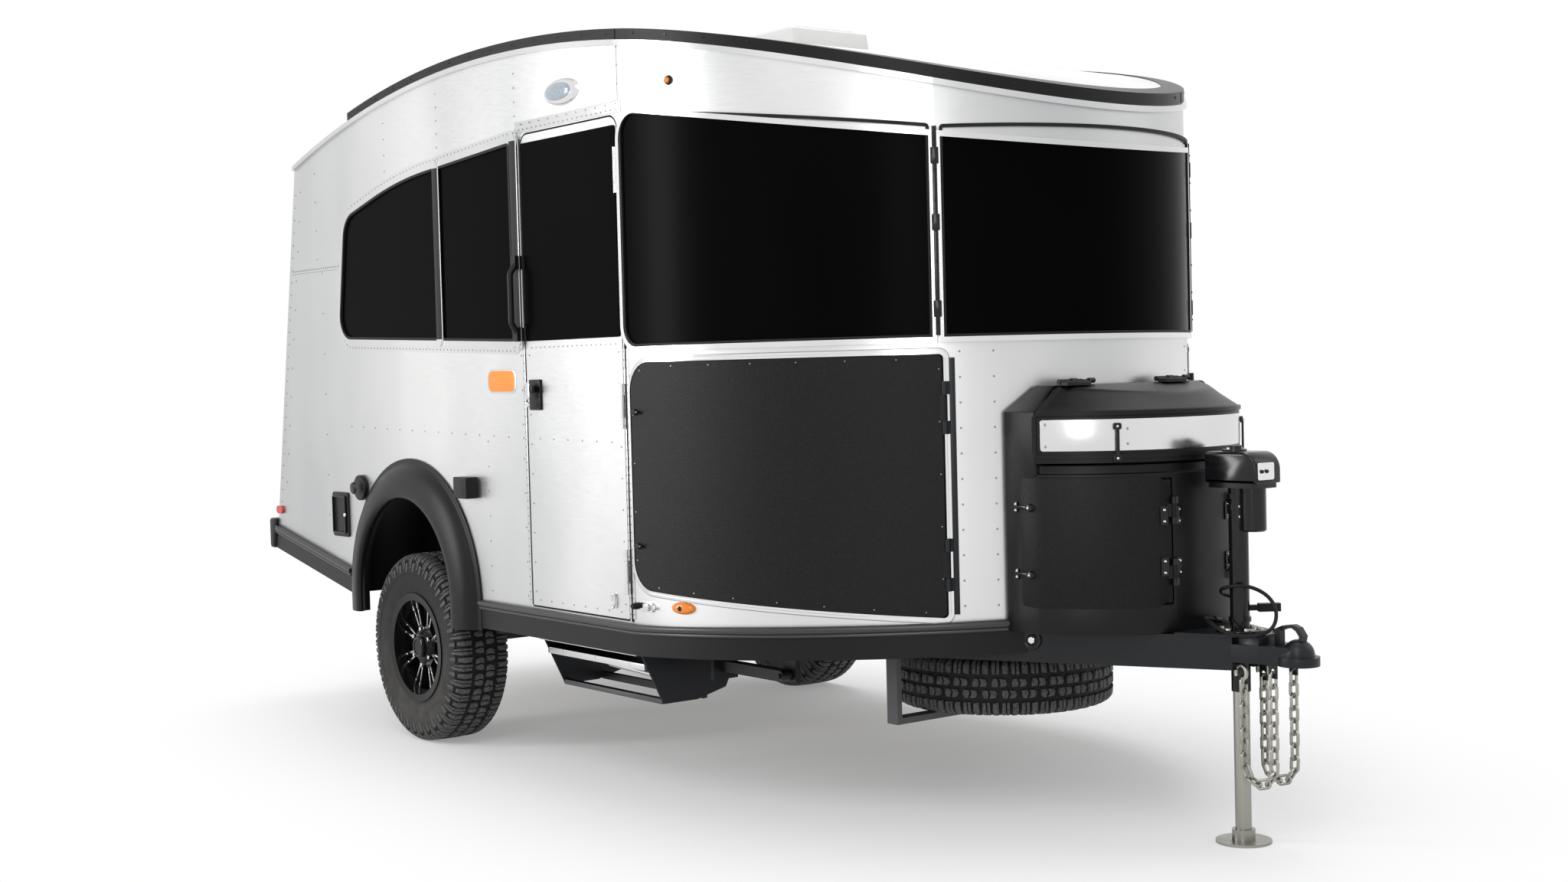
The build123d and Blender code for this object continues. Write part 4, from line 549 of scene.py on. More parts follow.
def plate(wide, tall, thick, corner=0.0, edge=0.0):
    """A flat plate about the origin, from z = 0 up, with rounded corners and upper edge."""
    shape = bmesh.new()
    bmesh.ops.create_grid(shape, x_segments=1, y_segments=1, size=0.5)
    bmesh.ops.scale(shape, vec=(wide, tall, 1), verts=shape.verts)
    if corner:
        bevelled(shape, shape.verts[:], corner, 5, "VERTICES")
    thicken(shape, thick, edge)
    return shape


def outline_plate(outline, thick, edge=0.0):
    """A flat plate with a given outline of a few corners."""
    shape = bmesh.new()
    shape.faces.new([shape.verts.new((x, y, 0)) for x, y in outline])
    thicken(shape, thick, edge)
    return shape


# %% Round shapes


def peg(radius, rise, sides=12, top=None, edge=0.0):
    """An upright round peg from z = 0, narrowing to a top radius."""
    shape = bmesh.new()
    bmesh.ops.create_cone(shape, cap_ends=True, cap_tris=False, segments=sides, radius1=radius,
                          radius2=radius if top is None else top, depth=rise, matrix=at(0, 0, rise / 2))
    if edge:
        upper = [line for line in shape.edges if all(vert.co.z > rise * 0.99 for vert in line.verts)]
        bevelled(shape, upper, edge)
    return shape


def turned(section, steps=48):
    """A closed ring or disc: a section of (reach, height) points spun about z."""
    shape = bmesh.new()
    line = [shape.verts.new((reach, 0, height)) for reach, height in section]
    edges = [shape.edges.new(pair) for pair in zip(line, line[1:])]
    bmesh.ops.spin(shape, geom=line + edges, cent=(0, 0, 0), axis=(0, 0, 1), angle=2 * pi, steps=steps,
                   use_merge=True)
    bmesh.ops.remove_doubles(shape, verts=shape.verts, dist=TINY)
    return shape


def bead(points, radius, closed=False, sides=2):
    """A round bead along points in space."""
    curve = bpy.data.curves.new("bead", "CURVE")
    curve.dimensions = "3D"
    line = curve.splines.new("POLY")
    line.points.add(len(points) - 1)
    for spot, point in zip(line.points, points):
        spot.co = (*point, 1)
    line.use_cyclic_u = closed
    curve.bevel_depth, curve.bevel_resolution, curve.use_fill_caps = radius, sides, True
    holder = bpy.data.objects.new("bead", curve)
    mesh = bpy.data.meshes.new_from_object(holder)
    shape = bmesh.new()
    shape.from_mesh(mesh)
    bpy.data.objects.remove(holder)
    bpy.data.curves.remove(curve)
    bpy.data.meshes.remove(mesh)
    bmesh.ops.remove_doubles(shape, verts=shape.verts, dist=TINY)
    return shape


# %% Bending and mirroring


def sliced(shape, step):
    """Cuts a flat shape across x, so that it can bend with the wall."""
    low = min(vert.co.x for vert in shape.verts)
    high = max(vert.co.x for vert in shape.verts)
    for k in range(1, int((high - low) / step) + 1):
        cut_across(shape, (low + k * step, 0, 0), (1, 0, 0))


def wrapped(shape, surface, u=0.0, v=0.0, lift=0.0):
    """Lays a flat shape on a surface, its origin at (u, v)."""
    for vert in shape.verts:
        vert.co = surface(vert.co.x + u, vert.co.y + v, vert.co.z + lift)
    return shape


def on_left(shape):
    """Moves a shape from the right side to the left."""
    bmesh.ops.scale(shape, vec=(1, -1, 1), verts=shape.verts)
    return shape


def mirrored(shape):
    """Adds the same shape on the trailer's other side."""
    copy = bmesh.ops.duplicate(shape, geom=everything(shape))["geom"]
    bmesh.ops.scale(shape, vec=(1, -1, 1), verts=chosen(copy, bmesh.types.BMVert))
    bmesh.ops.reverse_faces(shape, faces=chosen(copy, bmesh.types.BMFace))
    return shape


def piece(name, shape, finish, body="trailer", angle=40):
    """Makes a shape a finished piece that moves with a body."""
    bmesh.ops.recalc_face_normals(shape, faces=shape.faces)
    for face in shape.faces:
        face.smooth = True
    mesh = bpy.data.meshes.new(name)
    shape.to_mesh(mesh)
    shape.free()
    mesh.set_sharp_from_angle(angle=radians(angle))
    mesh.materials.append(finishes[finish])
    thing = bpy.data.objects.new(name, mesh)
    bpy.context.scene.collection.objects.link(thing)
    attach(thing, body)
    print(name, len(mesh.polygons), "faces")
    return thing


# %% [markdown]
# Frames, edgings and rows of rivets follow an outline. An outline is a path of points with rounded
# corners. It can be moved outwards, a strip can run along it, and heads can be set along it at even
# steps.

# %% Paths
BENDS, NEARLY = 8, 1e-9


def rounded(corners, step=0.03):
    """Points round a closed outline, anticlockwise, whose corners are (x, y, radius)."""
    path = []
    for index, (x, y, radius) in enumerate(corners):
        here = Vector((x, y))
        before = (Vector(corners[index - 1][:2]) - here).normalized()
        after = (Vector(corners[(index + 1) % len(corners)][:2]) - here).normalized()
        half = before.angle(after) / 2
        reach = radius / tan(half)
        centre = here + (before + after).normalized() * (radius / sin(half))
        start, end = here + before * reach - centre, here + after * reach - centre
        for k in range(BENDS + 1):
            path.append(centre + start.lerp(end, k / BENDS).normalized() * radius)
    filled = []
    for index, point in enumerate(path):
        ahead = path[(index + 1) % len(path)]
        parts = max(1, int((ahead - point).length / step))
        for k in range(parts):
            filled.append(point.lerp(ahead, k / parts))
    return filled


def upright_box(half, low, high, corner):
    """A rounded outline about the middle of a surface."""
    return rounded([(-half, low, corner), (half, low, corner), (half, high, corner), (-half, high, corner)])


def moved_out(path, distance):
    """The same path, moved outwards all round."""
    result = []
    for index, point in enumerate(path):
        run = (path[(index + 1) % len(path)] - path[index - 1]).normalized()
        result.append(point + Vector((run.y, -run.x)) * distance)
    return result


def spaced(path, pitch):
    """Points at even steps round a closed path."""
    line = path + path[:1]
    total = sum((b - a).length for a, b in zip(line, line[1:]))
    count = max(1, round(total / pitch))
    gap, due, spots, walked = total / count, 0.0, [], 0.0
    for a, b in zip(line, line[1:]):
        length = (b - a).length
        while due <= walked + length + NEARLY and len(spots) < count:
            spots.append(a.lerp(b, (due - walked) / max(length, NEARLY)))
            due += gap
        walked += length
    return spots


def straight(start, end, pitch):
    """Evenly spaced points on a straight line, with one at each end."""
    start, end = Vector(start), Vector(end)
    count = max(1, round((end - start).length / pitch))
    return [start.lerp(end, k / count) for k in range(count + 1)]


# %% Strips and rivets
HEAD_TAPER = 0.55


def strip(path, wide, low, high, surface):
    """A flat strip along a path on a surface, from one lift to another."""
    shape = bmesh.new()
    edges = []
    for side in (-wide / 2, wide / 2):
        ring = [shape.verts.new((point.x, point.y, low)) for point in moved_out(path, side)]
        edges += [shape.edges.new((ring[index - 1], ring[index])) for index in range(len(ring))]
    bmesh.ops.bridge_loops(shape, edges=edges)
    thicken(shape, high - low)
    return wrapped(shape, surface)


def rivets(whole, surface, spots, radius=0.0042, rise=0.0022, lift=0.0, sides=8):
    """Low round heads on a surface."""
    for spot in spots:
        place = stand(surface, spot[0], spot[1], lift) @ at(0, 0, rise / 2)
        bmesh.ops.create_cone(whole, cap_ends=True, cap_tris=False, segments=sides, radius1=radius,
                              radius2=radius * HEAD_TAPER, depth=rise, matrix=place)


def rivet_rows(surface, rows, **look):
    """Heads along straight rows of (start, end, pitch)."""
    whole = bmesh.new()
    for start, end, pitch in rows:
        rivets(whole, surface, straight(start, end, pitch), **look)
    return whole


# %% [markdown]
# Mouldings and castings have no knife edges. For parts whose form is already right, a copy of the packed
# mesh is merged, its flat triangles are joined into faces, and a bevel rounds the hard edges.

# %% Rounded mouldings
HARD_EDGE, FLAT_EDGE, SAME_POINT = radians(28), radians(1.0), 0.00002
# node, width of the rounding, body
mouldings = [
    ("front_box_body", 0.004, "trailer"), ("coupler", 0.003, "trailer"), ("rear_bumper", 0.010, "trailer"),
    ("roof_air_conditioner", 0.025, "trailer"), ("roof_vent", 0.012, "trailer"),
    ("door_handle", 0.008, "entry_door"), ("service_fittings", 0.005, "trailer"),
    ("safety_chains", 0.0022, "trailer"),
]
for node, width, body in mouldings:
    shape = bmesh.new()
    shape.from_mesh(nodes[node].data)
    bmesh.ops.remove_doubles(shape, verts=shape.verts, dist=SAME_POINT)
    bmesh.ops.dissolve_limit(shape, angle_limit=FLAT_EDGE, verts=shape.verts, edges=shape.edges)
    shared = [line for line in shape.edges if len(line.link_faces) == 2]
    hard = [line for line in shared if line.calc_face_angle(0.0) > HARD_EDGE]
    bevelled(shape, hard, width, 3, clamp_overlap=True)
    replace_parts(piece(node + "_rounded", shape, slot_of[node], body), node)

# %% [markdown]
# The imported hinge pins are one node, but not all of one metal. The entry door's pins are bright like the
# strips beside them and the others are black. So the node is shown as two pieces, split by where its
# points are.

# %% Hinge pins
DOOR_HINGE, HINGE_ZONE, RIGHT_SIDE = 0.475, 0.03, -0.95


def hinge_pins(at_door):
    """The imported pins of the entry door, or all the others."""
    shape = bmesh.new()
    shape.from_mesh(nodes["hinge_pins"].data)
    gone = []
    for vert in shape.verts:
        of_door = abs(vert.co.x - DOOR_HINGE) < HINGE_ZONE and vert.co.y < RIGHT_SIDE
        if of_door != at_door:
            gone.append(vert)
    bmesh.ops.delete(shape, geom=gone, context="VERTS")
    return shape


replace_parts(piece("door_hinge_pins", hinge_pins(True), "bright_aluminium"), "hinge_pins")
piece("dark_hinge_pins", hinge_pins(False), "black_paint")

# %% [markdown]
# The tongue cable leaves a gland on the tongue plate, lies in an open loop round the jack and goes up
# into a clamp behind the jack's tube. A cable is limp, so it is one smooth spline through the air, with a
# point at each place where it turns, and a round bevel gives it its thickness.

# %% Tongue cable
CABLE_RADIUS, CABLE_LENGTH = 0.0055, 0.7366
cable_route = [
    (2.104, 0.007, 0.650), (2.097, -0.019, 0.655), (2.107, -0.052, 0.661), (2.148, -0.080, 0.660),
    (2.186, -0.097, 0.650), (2.231, -0.105, 0.637), (2.281, -0.100, 0.627), (2.331, -0.078, 0.630),
    (2.351, -0.041, 0.644), (2.341, -0.004, 0.668), (2.324, 0.017, 0.700), (2.300, 0.018, 0.731),
    (2.274, -0.002, 0.754), (2.248, -0.033, 0.766), (2.218, -0.055, 0.764), (2.180, -0.052, 0.753),
    (2.152, -0.023, 0.738), (2.148, 0.011, 0.725), (2.163, 0.040, 0.717),
]
cable_line = bpy.data.curves.new("cable", "CURVE")
cable_line.dimensions = "3D"
cable_spline = cable_line.splines.new("NURBS")
cable_spline.points.add(len(cable_route) - 1)
for spot, place in zip(cable_spline.points, cable_route):
    spot.co = (*place, 1.0)
cable_spline.order_u = 3
cable_spline.use_endpoint_u = True
cable_spline.resolution_u = 10
cable_line.bevel_depth, cable_line.bevel_resolution, cable_line.use_fill_caps = CABLE_RADIUS, 4, True
cable_line.materials.append(finishes["dark_rubber"])
cable = bpy.data.objects.new("cable", cable_line)
bpy.context.scene.collection.objects.link(cable)
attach(cable, "trailer")
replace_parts(cable, "tongue_cable")
print("cable:", len(cable_route), "points")

# %% [markdown]
# An all-terrain tyre is a smooth carcass with rubber blocks on it. The carcass is a section spun about
# the axle. The tread could be cut into it, but blocks laid on it are simpler: each block is drawn flat,
# with u round the wheel and s across it, raised, and bent over the section. One sector of blocks is then
# copied round the wheel.

# %% Tyre section
TYRE_RADIUS, SECTORS, BLOCK_SHARE = 0.365, 36, 0.86
BLOCK_RISE, BLOCK_ROOT, BLOCK_EDGE = 0.010, 0.004, 0.0016
SHOULDER_START, SHOULDER_WIDTH, SHOULDER_FALL = 0.088, 0.04, 0.72
# across the tyre from its middle, reach from the axle
tyre_section = [
    (0, 0.360), (0.05, 0.3597), (0.085, 0.3575), (0.098, 0.351), (0.107, 0.340), (0.1125, 0.3275),
    (0.1165, 0.300), (0.1168, 0.292), (0.1150, 0.290), (0.1148, 0.276), (0.113, 0.262), (0.1135, 0.256),
    (0.106, 0.235), (0.104, 0.224), (0.1055, 0.221), (0.1012, 0.206),
]


def over_tyre(u, s, rise):
    """A point of the flat tread pattern, bent over the tyre's section; z is the axle."""
    side, left = (1 if s >= 0 else -1), abs(s)
    for (t0, r0), (t1, r1) in zip(tyre_section, tyre_section[1:]):
        length = hypot(t1 - t0, r1 - r0)
        if left <= length:
            break
        left -= length
    share = left / length
    away_t, away_r = (r0 - r1) / length, (t1 - t0) / length
    rise *= 1.0 - SHOULDER_FALL * min(1.0, max(0.0, (abs(s) - SHOULDER_START) / SHOULDER_WIDTH))
    across_t = t0 + (t1 - t0) * share + away_t * rise
    reach = r0 + (r1 - r0) * share + away_r * rise
    turn = u / TYRE_RADIUS
    return Vector((reach * cos(turn), reach * sin(turn), side * across_t))


# %% Tread blocks


def tread_block(whole, outline):
    """Adds one raised block with its twin on the other half of the tread, half a sector on."""
    middle = sum((Vector(corner) for corner in outline), Vector((0, 0))) / len(outline)
    outline = [tuple(middle + (Vector(corner) - middle) * BLOCK_SHARE) for corner in outline]
    for side in (1, -1):
        shift = 0.0 if side > 0 else pi * TYRE_RADIUS / SECTORS
        corners = [(u + shift, side * s) for u, s in outline[::side]]
        block = outline_plate(corners, BLOCK_RISE + BLOCK_ROOT, BLOCK_EDGE)
        bmesh.ops.translate(block, vec=(0, 0, -BLOCK_ROOT), verts=block.verts)
        for level in (0.0851, 0.0996, 0.1138):
            cut_across(block, (0, side * level, 0), (0, 1, 0))
        add(whole, wrapped(block, over_tyre))


# corners of each block as (u, s)
tread_outlines = [
    [(0.003, 0.004), (0.024, 0.004), (0.028, 0.021), (0.022, 0.043), (0.008, 0.042), (0.002, 0.024)],
    [(0.0265, 0.004), (0.048, 0.005), (0.055, 0.018), (0.049, 0.039), (0.0255, 0.043), (0.0315, 0.021)],
    [(0.004, 0.051), (0.016, 0.049), (0.017, 0.090), (0.015, 0.152), (0.005, 0.152), (0.001, 0.090)],
    [(0.0185, 0.049), (0.029, 0.050), (0.030, 0.090), (0.026, 0.133), (0.0185, 0.133), (0.0195, 0.090)],
    [(0.037, 0.055), (0.057, 0.050), (0.059, 0.085), (0.056, 0.112), (0.039, 0.112), (0.035, 0.085)],
    [(0.036, 0.119), (0.057, 0.119), (0.053, 0.158), (0.039, 0.158)],
]


def ring_of(points):
    """A closed ring from a section of (across, reach) points."""
    section = [(reach, across_t) for across_t, reach in points]
    return turned(section + section[:1], 72)


def tread_sector():
    """The blocks of one sector, copied round the wheel."""
    sector = bmesh.new()
    for outline in tread_outlines:
        tread_block(sector, outline)
    step = 2 * pi / SECTORS
    bmesh.ops.spin(sector, geom=everything(sector), cent=(0, 0, 0), axis=(0, 0, 1), angle=2 * pi - step,
                   steps=SECTORS - 1, use_duplicate=True)
    return sector


# %% Tyres
WHEEL_SIDE, WHEEL_HEIGHT, SHOULDER = 0.9095, 0.370, 6
right_wheel = at(AXLE, -WHEEL_SIDE, WHEEL_HEIGHT) @ Matrix.Rotation(pi / 2, 4, "X")
left_wheel = at(AXLE, WHEEL_SIDE, WHEEL_HEIGHT) @ Matrix.Rotation(-pi / 2, 4, "X")
spare_wheel = at(1.195, 0, 0.400) @ Matrix.Diagonal((0.985, 0.985, 0.805, 1))
crown = tyre_section[:SHOULDER]
other_crown = [(-across_t, reach) for across_t, reach in crown[:0:-1]]
under_tread = other_crown + crown + [(0.09, 0.32), (-0.09, 0.32)]
side_section = tyre_section[SHOULDER - 2:] + [(0.06, 0.206), (0.06, 0.335)]
other_section = [(-across_t, reach) for across_t, reach in side_section]
tyres = [("tyre_right", right_wheel, "wheel_right"), ("tyre_left", left_wheel, "wheel_left"),
         ("spare_tyre", spare_wheel, "trailer")]
for name, place, body in tyres:
    sidewalls = joined((ring_of(side_section), place), (ring_of(other_section), place))
    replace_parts(piece(name + "_sidewalls", sidewalls, "tyre_rubber", body, 30), name)
    # the ring under the blocks takes a darker rubber than the tyre itself: painted shade in the grooves
    # between the blocks
    piece(name + "_base", joined((ring_of(under_tread), place)), "dark_rubber", body, 30)
    piece(name + "_blocks", joined((tread_sector(), place)), "tread_rubber", body, 30)

# %% [markdown]
# The alloy rims stay as they are. What catches the light on them is small: machined tips on the paired
# spokes, the wheel nuts, and the cap's raised rim. The tips and the nuts are repeated round the hub.

# %% Rim details
SPOKE_PAIRS, SPOKE_LEAN, NUTS, NUT_CIRCLE = 8, 16.4, 6, 0.071
cap_section = [(0.030, 0.0975), (0.031, 0.1005), (0.037, 0.1005), (0.041, 0.098)]
for side, place in (("right", right_wheel), ("left", left_wheel)):
    tips, nuts = bmesh.new(), bmesh.new()
    for pair in range(SPOKE_PAIRS):
        for lean in (-SPOKE_LEAN, SPOKE_LEAN):
            turn = place @ Matrix.Rotation(radians(360 / SPOKE_PAIRS * pair + lean), 4, "Z")
            add(tips, plate(0.034, 0.0080, 0.002, 0.002, 0.0006), turn @ at(0.172, 0, 0.0715))
            slope = at(0.124, 0, 0.0690) @ Matrix.Rotation(-0.0455, 4, "Y")
            add(tips, plate(0.072, 0.0042, 0.0012, 0, 0.0004), turn @ slope)
    for nut in range(NUTS):
        turn = place @ Matrix.Rotation(radians(360 / NUTS * nut + 30), 4, "Z")
        add(nuts, peg(0.0105, 0.022, 6, 0.009, 0.002), turn @ at(NUT_CIRCLE, 0, 0.066))
    piece("spoke_tips_" + side, tips, "chrome", "wheel_" + side)
    piece("wheel_nuts_" + side, nuts, "chrome", "wheel_" + side)
    piece("hub_cap_rim_" + side, joined((turned(cap_section, 32), place)), "gloss_black", "wheel_" + side)

# %% [markdown]
# The long side window is glazed into a riveted flange. Its outline is a path with rounded corners on the
# wall. A strip along that path makes the flange's bright edge, a second makes the black gasket, and heads
# at even steps along it are the rivets. The left window has no door beside it, so its path runs further
# ahead.

# %% Side windows
WINDOW_FOOT, WINDOW_CORNER = 1.554, 0.012
WINDOW_TAIL = [(-0.020, 2.200, 2.8), (-0.505, 2.088, 0.11), (-0.585, 1.600, 0.09)]
for side, front, top in (("right", 0.850, 2.256), ("left", 1.535, 2.253)):
    window_path = rounded([(front, WINDOW_FOOT, WINDOW_CORNER), (front, top, WINDOW_CORNER)] + WINDOW_TAIL)
    flange = strip(moved_out(window_path, 0.030), 0.036, 0.0, 0.0022, wall)
    heads = bmesh.new()
    rivets(heads, wall, spaced(moved_out(window_path, 0.037), 0.028), lift=0.002, radius=0.0036)
    gasket = strip(moved_out(window_path, -0.002), 0.010, 0.0045, 0.0135, wall)
    for name, shape, finish in (("window_flange_", flange, "bright_aluminium"),
                                ("window_rivets_", heads, "rivet_heads"),
                                ("window_gasket_", gasket, "dark_rubber")):
        piece(name + side, on_left(shape) if side == "left" else shape, finish)

# %% Window posts
POST_WIDE, POST_LIFT, GUSSET = 0.046, 0.0122, 0.03
posts, post_lines, gussets, post_rivets = (bmesh.new() for k in range(4))
for station, low, high in ((0.294, 1.574, 2.220), (0.880, 1.550, 2.262)):
    half, middle, tall = POST_WIDE / 2, (low + high) / 2, high - low
    add(posts, wrapped(plate(POST_WIDE, tall, 0.002, 0, 0.0006), wall, station, middle, POST_LIFT))
    line = plate(0.006, tall + 0.05, 0.003, 0, 0.001)
    add(post_lines, wrapped(line, wall, station + half + 0.003, middle, POST_LIFT))
    for height, turn in ((high, 1), (low, -1)):
        corners = [(-half, 0), (half, 0), (0.004, turn * GUSSET), (-0.004, turn * GUSSET)]
        add(gussets, wrapped(outline_plate(corners[::turn], 0.003), wall, station, height, POST_LIFT))
    rivets(post_rivets, wall, straight((station, 2.30), (station, 2.50), 0.045))
    pair = straight((station - 0.012, high + 0.03), (station + 0.012, high + 0.03), 0.024)
    rivets(post_rivets, wall, pair, lift=0.002)
piece("window_posts", mirrored(posts), "dark_strip")
piece("window_post_lines", mirrored(post_lines), "bright_aluminium")
piece("window_post_gussets", mirrored(gussets), "bright_aluminium")
piece("window_post_rivets", mirrored(post_rivets), "rivet_heads")

# %% [markdown]
# The three front windows are framed in bright double section. The frames are there already, so only the
# black gasket inside each frame and the bolted strip on each mullion are added, bent round the nose with
# the wall.

# %% Front windows
FRONT_REAR, FRONT_LOW, FRONT_HIGH, FRONT_FALL = 1.572, 1.515, 2.286, 0.208
MULLION, FRAME_HALF, WIDE_CORNER, TIGHT_CORNER = run_to(2.599), 0.017, 0.07, 0.01
LEFT_MULLION, LEFT_REAR = 2 * nose_run - MULLION, 2 * nose_run - FRONT_REAR


def nose_top(run):
    """Upper edge of the front windows, which falls towards the nose from either side."""
    run = min(run, 2 * nose_run - run)
    return FRONT_HIGH - FRONT_FALL * max(0.0, (run - FRONT_REAR) / (nose_run - FRONT_REAR)) ** 1.05


front_gaskets = bmesh.new()
# run to one end and its corners' radius, run to the other end and its corners' radius
front_lights = [
    (FRONT_REAR, WIDE_CORNER, MULLION - FRAME_HALF, TIGHT_CORNER),
    (MULLION + FRAME_HALF, TIGHT_CORNER, LEFT_MULLION - FRAME_HALF, TIGHT_CORNER),
    (LEFT_MULLION + FRAME_HALF, TIGHT_CORNER, LEFT_REAR, WIDE_CORNER),
]
for low_run, low_corner, high_run, high_corner in front_lights:
    path = rounded([(low_run, FRONT_LOW, low_corner), (high_run, FRONT_LOW, high_corner),
                    (high_run, nose_top(high_run), high_corner), (low_run, nose_top(low_run), low_corner)])
    add(front_gaskets, strip(moved_out(path, -0.003), 0.010, 0.0045, 0.0125, wall))
piece("front_window_gaskets", front_gaskets, "dark_rubber")

mullion_strips, mullion_bolts = bmesh.new(), bmesh.new()
low, high = FRONT_LOW + 0.005, nose_top(MULLION) - 0.005
for run in (MULLION, LEFT_MULLION):
    bar = plate(0.014, high - low, 0.004, 0, 0.001)
    add(mullion_strips, wrapped(bar, wall, run, (high + low) / 2, 0.0145))
    for height in (1.60, 1.86, 2.06):
        add(mullion_strips, wrapped(plate(0.024, 0.05, 0.006, 0.003, 0.0015), wall, run, height, 0.015))
    bolt_line = straight((run, 1.56), (run, high - 0.04), 0.09)
    rivets(mullion_bolts, wall, bolt_line, radius=0.004, rise=0.003, lift=0.018)
piece("mullion_strips", mullion_strips, "gloss_black")
piece("mullion_bolts", mullion_bolts, "gloss_black")

# %% [markdown]
# The entry door is a framed panel with its own rivets, hung on a bright hinge strip. The handle's black
# bezel has a recessed bright grip and a round lock in it. What is on the door moves with it, and the
# strips beside it stay.

# %% Entry door
DOOR_REAR, DOOR_FRONT = 0.914, 1.540
PANEL_ROWS = [
    ((DOOR_REAR + 0.022, 0.66), (DOOR_REAR + 0.022, 1.50), 0.105),
    ((DOOR_FRONT - 0.022, 0.66), (DOOR_FRONT - 0.022, 1.50), 0.105),
    ((DOOR_REAR + 0.05, 0.632), (DOOR_FRONT - 0.05, 0.632), 0.075),
    ((DOOR_REAR + 0.08, 1.205), (DOOR_FRONT - 0.08, 1.200), 0.10),
]
door_rivets = rivet_rows(wall, PANEL_ROWS, radius=0.0036)
upper_row = straight((DOOR_REAR + 0.04, 1.527), (DOOR_FRONT - 0.04, 1.527), 0.03)
rivets(door_rivets, wall, upper_row, radius=0.0034)
piece("door_rivets", door_rivets, "rivet_heads", "entry_door")

jamb, jamb_rivets = bmesh.new(), bmesh.new()
for station, wide in ((DOOR_REAR - 0.013, 0.016), (DOOR_FRONT + 0.012, 0.010), (DOOR_FRONT + 0.030, 0.014)):
    add(jamb, wrapped(plate(wide, 0.895, 0.0035, 0, 0.001), wall, station, 1.062))
    jamb_row = straight((station, 0.63), (station, 1.50), 0.027)
    rivets(jamb_rivets, wall, jamb_row, radius=0.0028, lift=0.0035, sides=6)
piece("door_jamb_strips", jamb, "bright_aluminium")
piece("door_jamb_rivets", jamb_rivets, "rivet_heads")
hinge_line = wrapped(plate(0.005, 0.93, 0.005, 0, 0.001), wall, DOOR_FRONT + 0.0205, 1.07)
piece("door_hinge_line", hinge_line, "dark_rubber")

header = wrapped(plate(DOOR_FRONT - DOOR_REAR + 0.06, 0.040, 0.003, 0.004, 0.001), wall, 1.227, 2.306)
header_rows = [((0.91, 2.297), (1.545, 2.297), 0.03), ((0.925, 2.316), (1.545, 2.316), 0.06)]
piece("door_header", header, "bright_aluminium")
piece("door_header_rivets", rivet_rows(wall, header_rows, radius=0.0034, lift=0.003), "rivet_heads")

# %% Door fittings
HOOK_STATION, HOOK_HEIGHT, HANDLE_OUT = 1.452, 0.668, 0.0335
grip = joined((plate(0.030, 0.060, 0.004, 0.010, 0.0015), stand(wall, 0.972, 1.375, HANDLE_OUT)))
lock = joined((peg(0.0095, 0.006, 20, 0.0085, 0.001), stand(wall, 0.976, 1.326, HANDLE_OUT)))
hook_place = stand(wall, HOOK_STATION, HOOK_HEIGHT)
oval = [hook_place @ Vector((0.008 * cos(k * pi / 8), 0.024 * sin(k * pi / 8), 0.008)) for k in range(16)]
hook_foot = (peg(0.006, 0.010, 12, 0.005, 0.001), stand(wall, HOOK_STATION, 0.690))
piece("door_grip", grip, "chrome", "entry_door")
piece("door_lock", lock, "chrome", "entry_door")
piece("door_hook", joined((bead(oval, 0.0035, closed=True), None), hook_foot), "chrome", "entry_door")

blank_place = stand(wall, 0.735, 1.410)
blank_rim = joined((plate(0.204, 0.089, 0.002, 0.032, 0.0008), blank_place))
blank = joined((plate(0.190, 0.075, 0.0034, 0.027, 0.001), blank_place))
piece("blank_plate_rim", blank_rim, "bright_aluminium")
piece("blank_plate", blank, "orange_paint")

# %% [markdown]
# The front storage hatches are coarse black panels in a bright double edging. The edging follows the
# opening and stays on the wall. The screws, the two turn latches and the piano hinge are what one sees of
# how it works.

# %% Front hatches
HATCH_REAR, HATCH_FRONT, HATCH_TOP = 1.588, run_to(2.606), 1.461
hatch_path = rounded([(HATCH_REAR, 0.722, 0.095), (HATCH_FRONT, 0.664, 0.012),
                      (HATCH_FRONT, HATCH_TOP, 0.012), (HATCH_REAR, HATCH_TOP, 0.095)])
edging = strip(moved_out(hatch_path, 0.0055), 0.006, 0.0, 0.006, wall)
add(edging, strip(moved_out(hatch_path, 0.015), 0.007, 0.0, 0.003, wall))
piece("hatch_edging", mirrored(edging), "chrome")
# a thin line of the darker aluminium just outside the edging: a painted shadow of the edging on the wall
edge_line = strip(moved_out(hatch_path, 0.0205), 0.0028, 0.0, 0.0012, wall)
piece("hatch_edge_lines", mirrored(edge_line), "rivet_heads")
for side in ("right", "left"):
    screws, latches = bmesh.new(), bmesh.new()
    rivets(screws, wall, spaced(moved_out(hatch_path, -0.012), 0.16), radius=0.0028, rise=0.002, lift=0.004)
    for height in (1.300, 0.860):
        add(latches, peg(0.011, 0.012, 16, 0.009, 0.002), stand(wall, 1.612, height, 0.003))
        add(latches, plate(0.040, 0.010, 0.007, 0.004, 0.002), stand(wall, 1.620, height, 0.012))
    if side == "left":
        screws, latches = on_left(screws), on_left(latches)
    piece("hatch_screws_" + side, screws, "zinc_steel", "front_hatch_" + side)
    piece("hatch_latches_" + side, latches, "gloss_black", "front_hatch_" + side)
hinge_strip = wrapped(plate(0.018, 0.78, 0.003, 0, 0.001), wall, run_to(2.614) + 0.016, 1.062)
piece("hatch_hinge_strips", mirrored(hinge_strip), "black_paint")

# %% [markdown]
# The wheel flares are blow-moulded, so everything on them is round. The section runs from a thin bead on
# the wall over a full shoulder to a turned-in lip. It is spun half a turn about the wheel arch, and each
# leg is drawn down.

# %% Flares
ARCH_HEIGHT, FLARE_FOOT = 0.575, 0.485
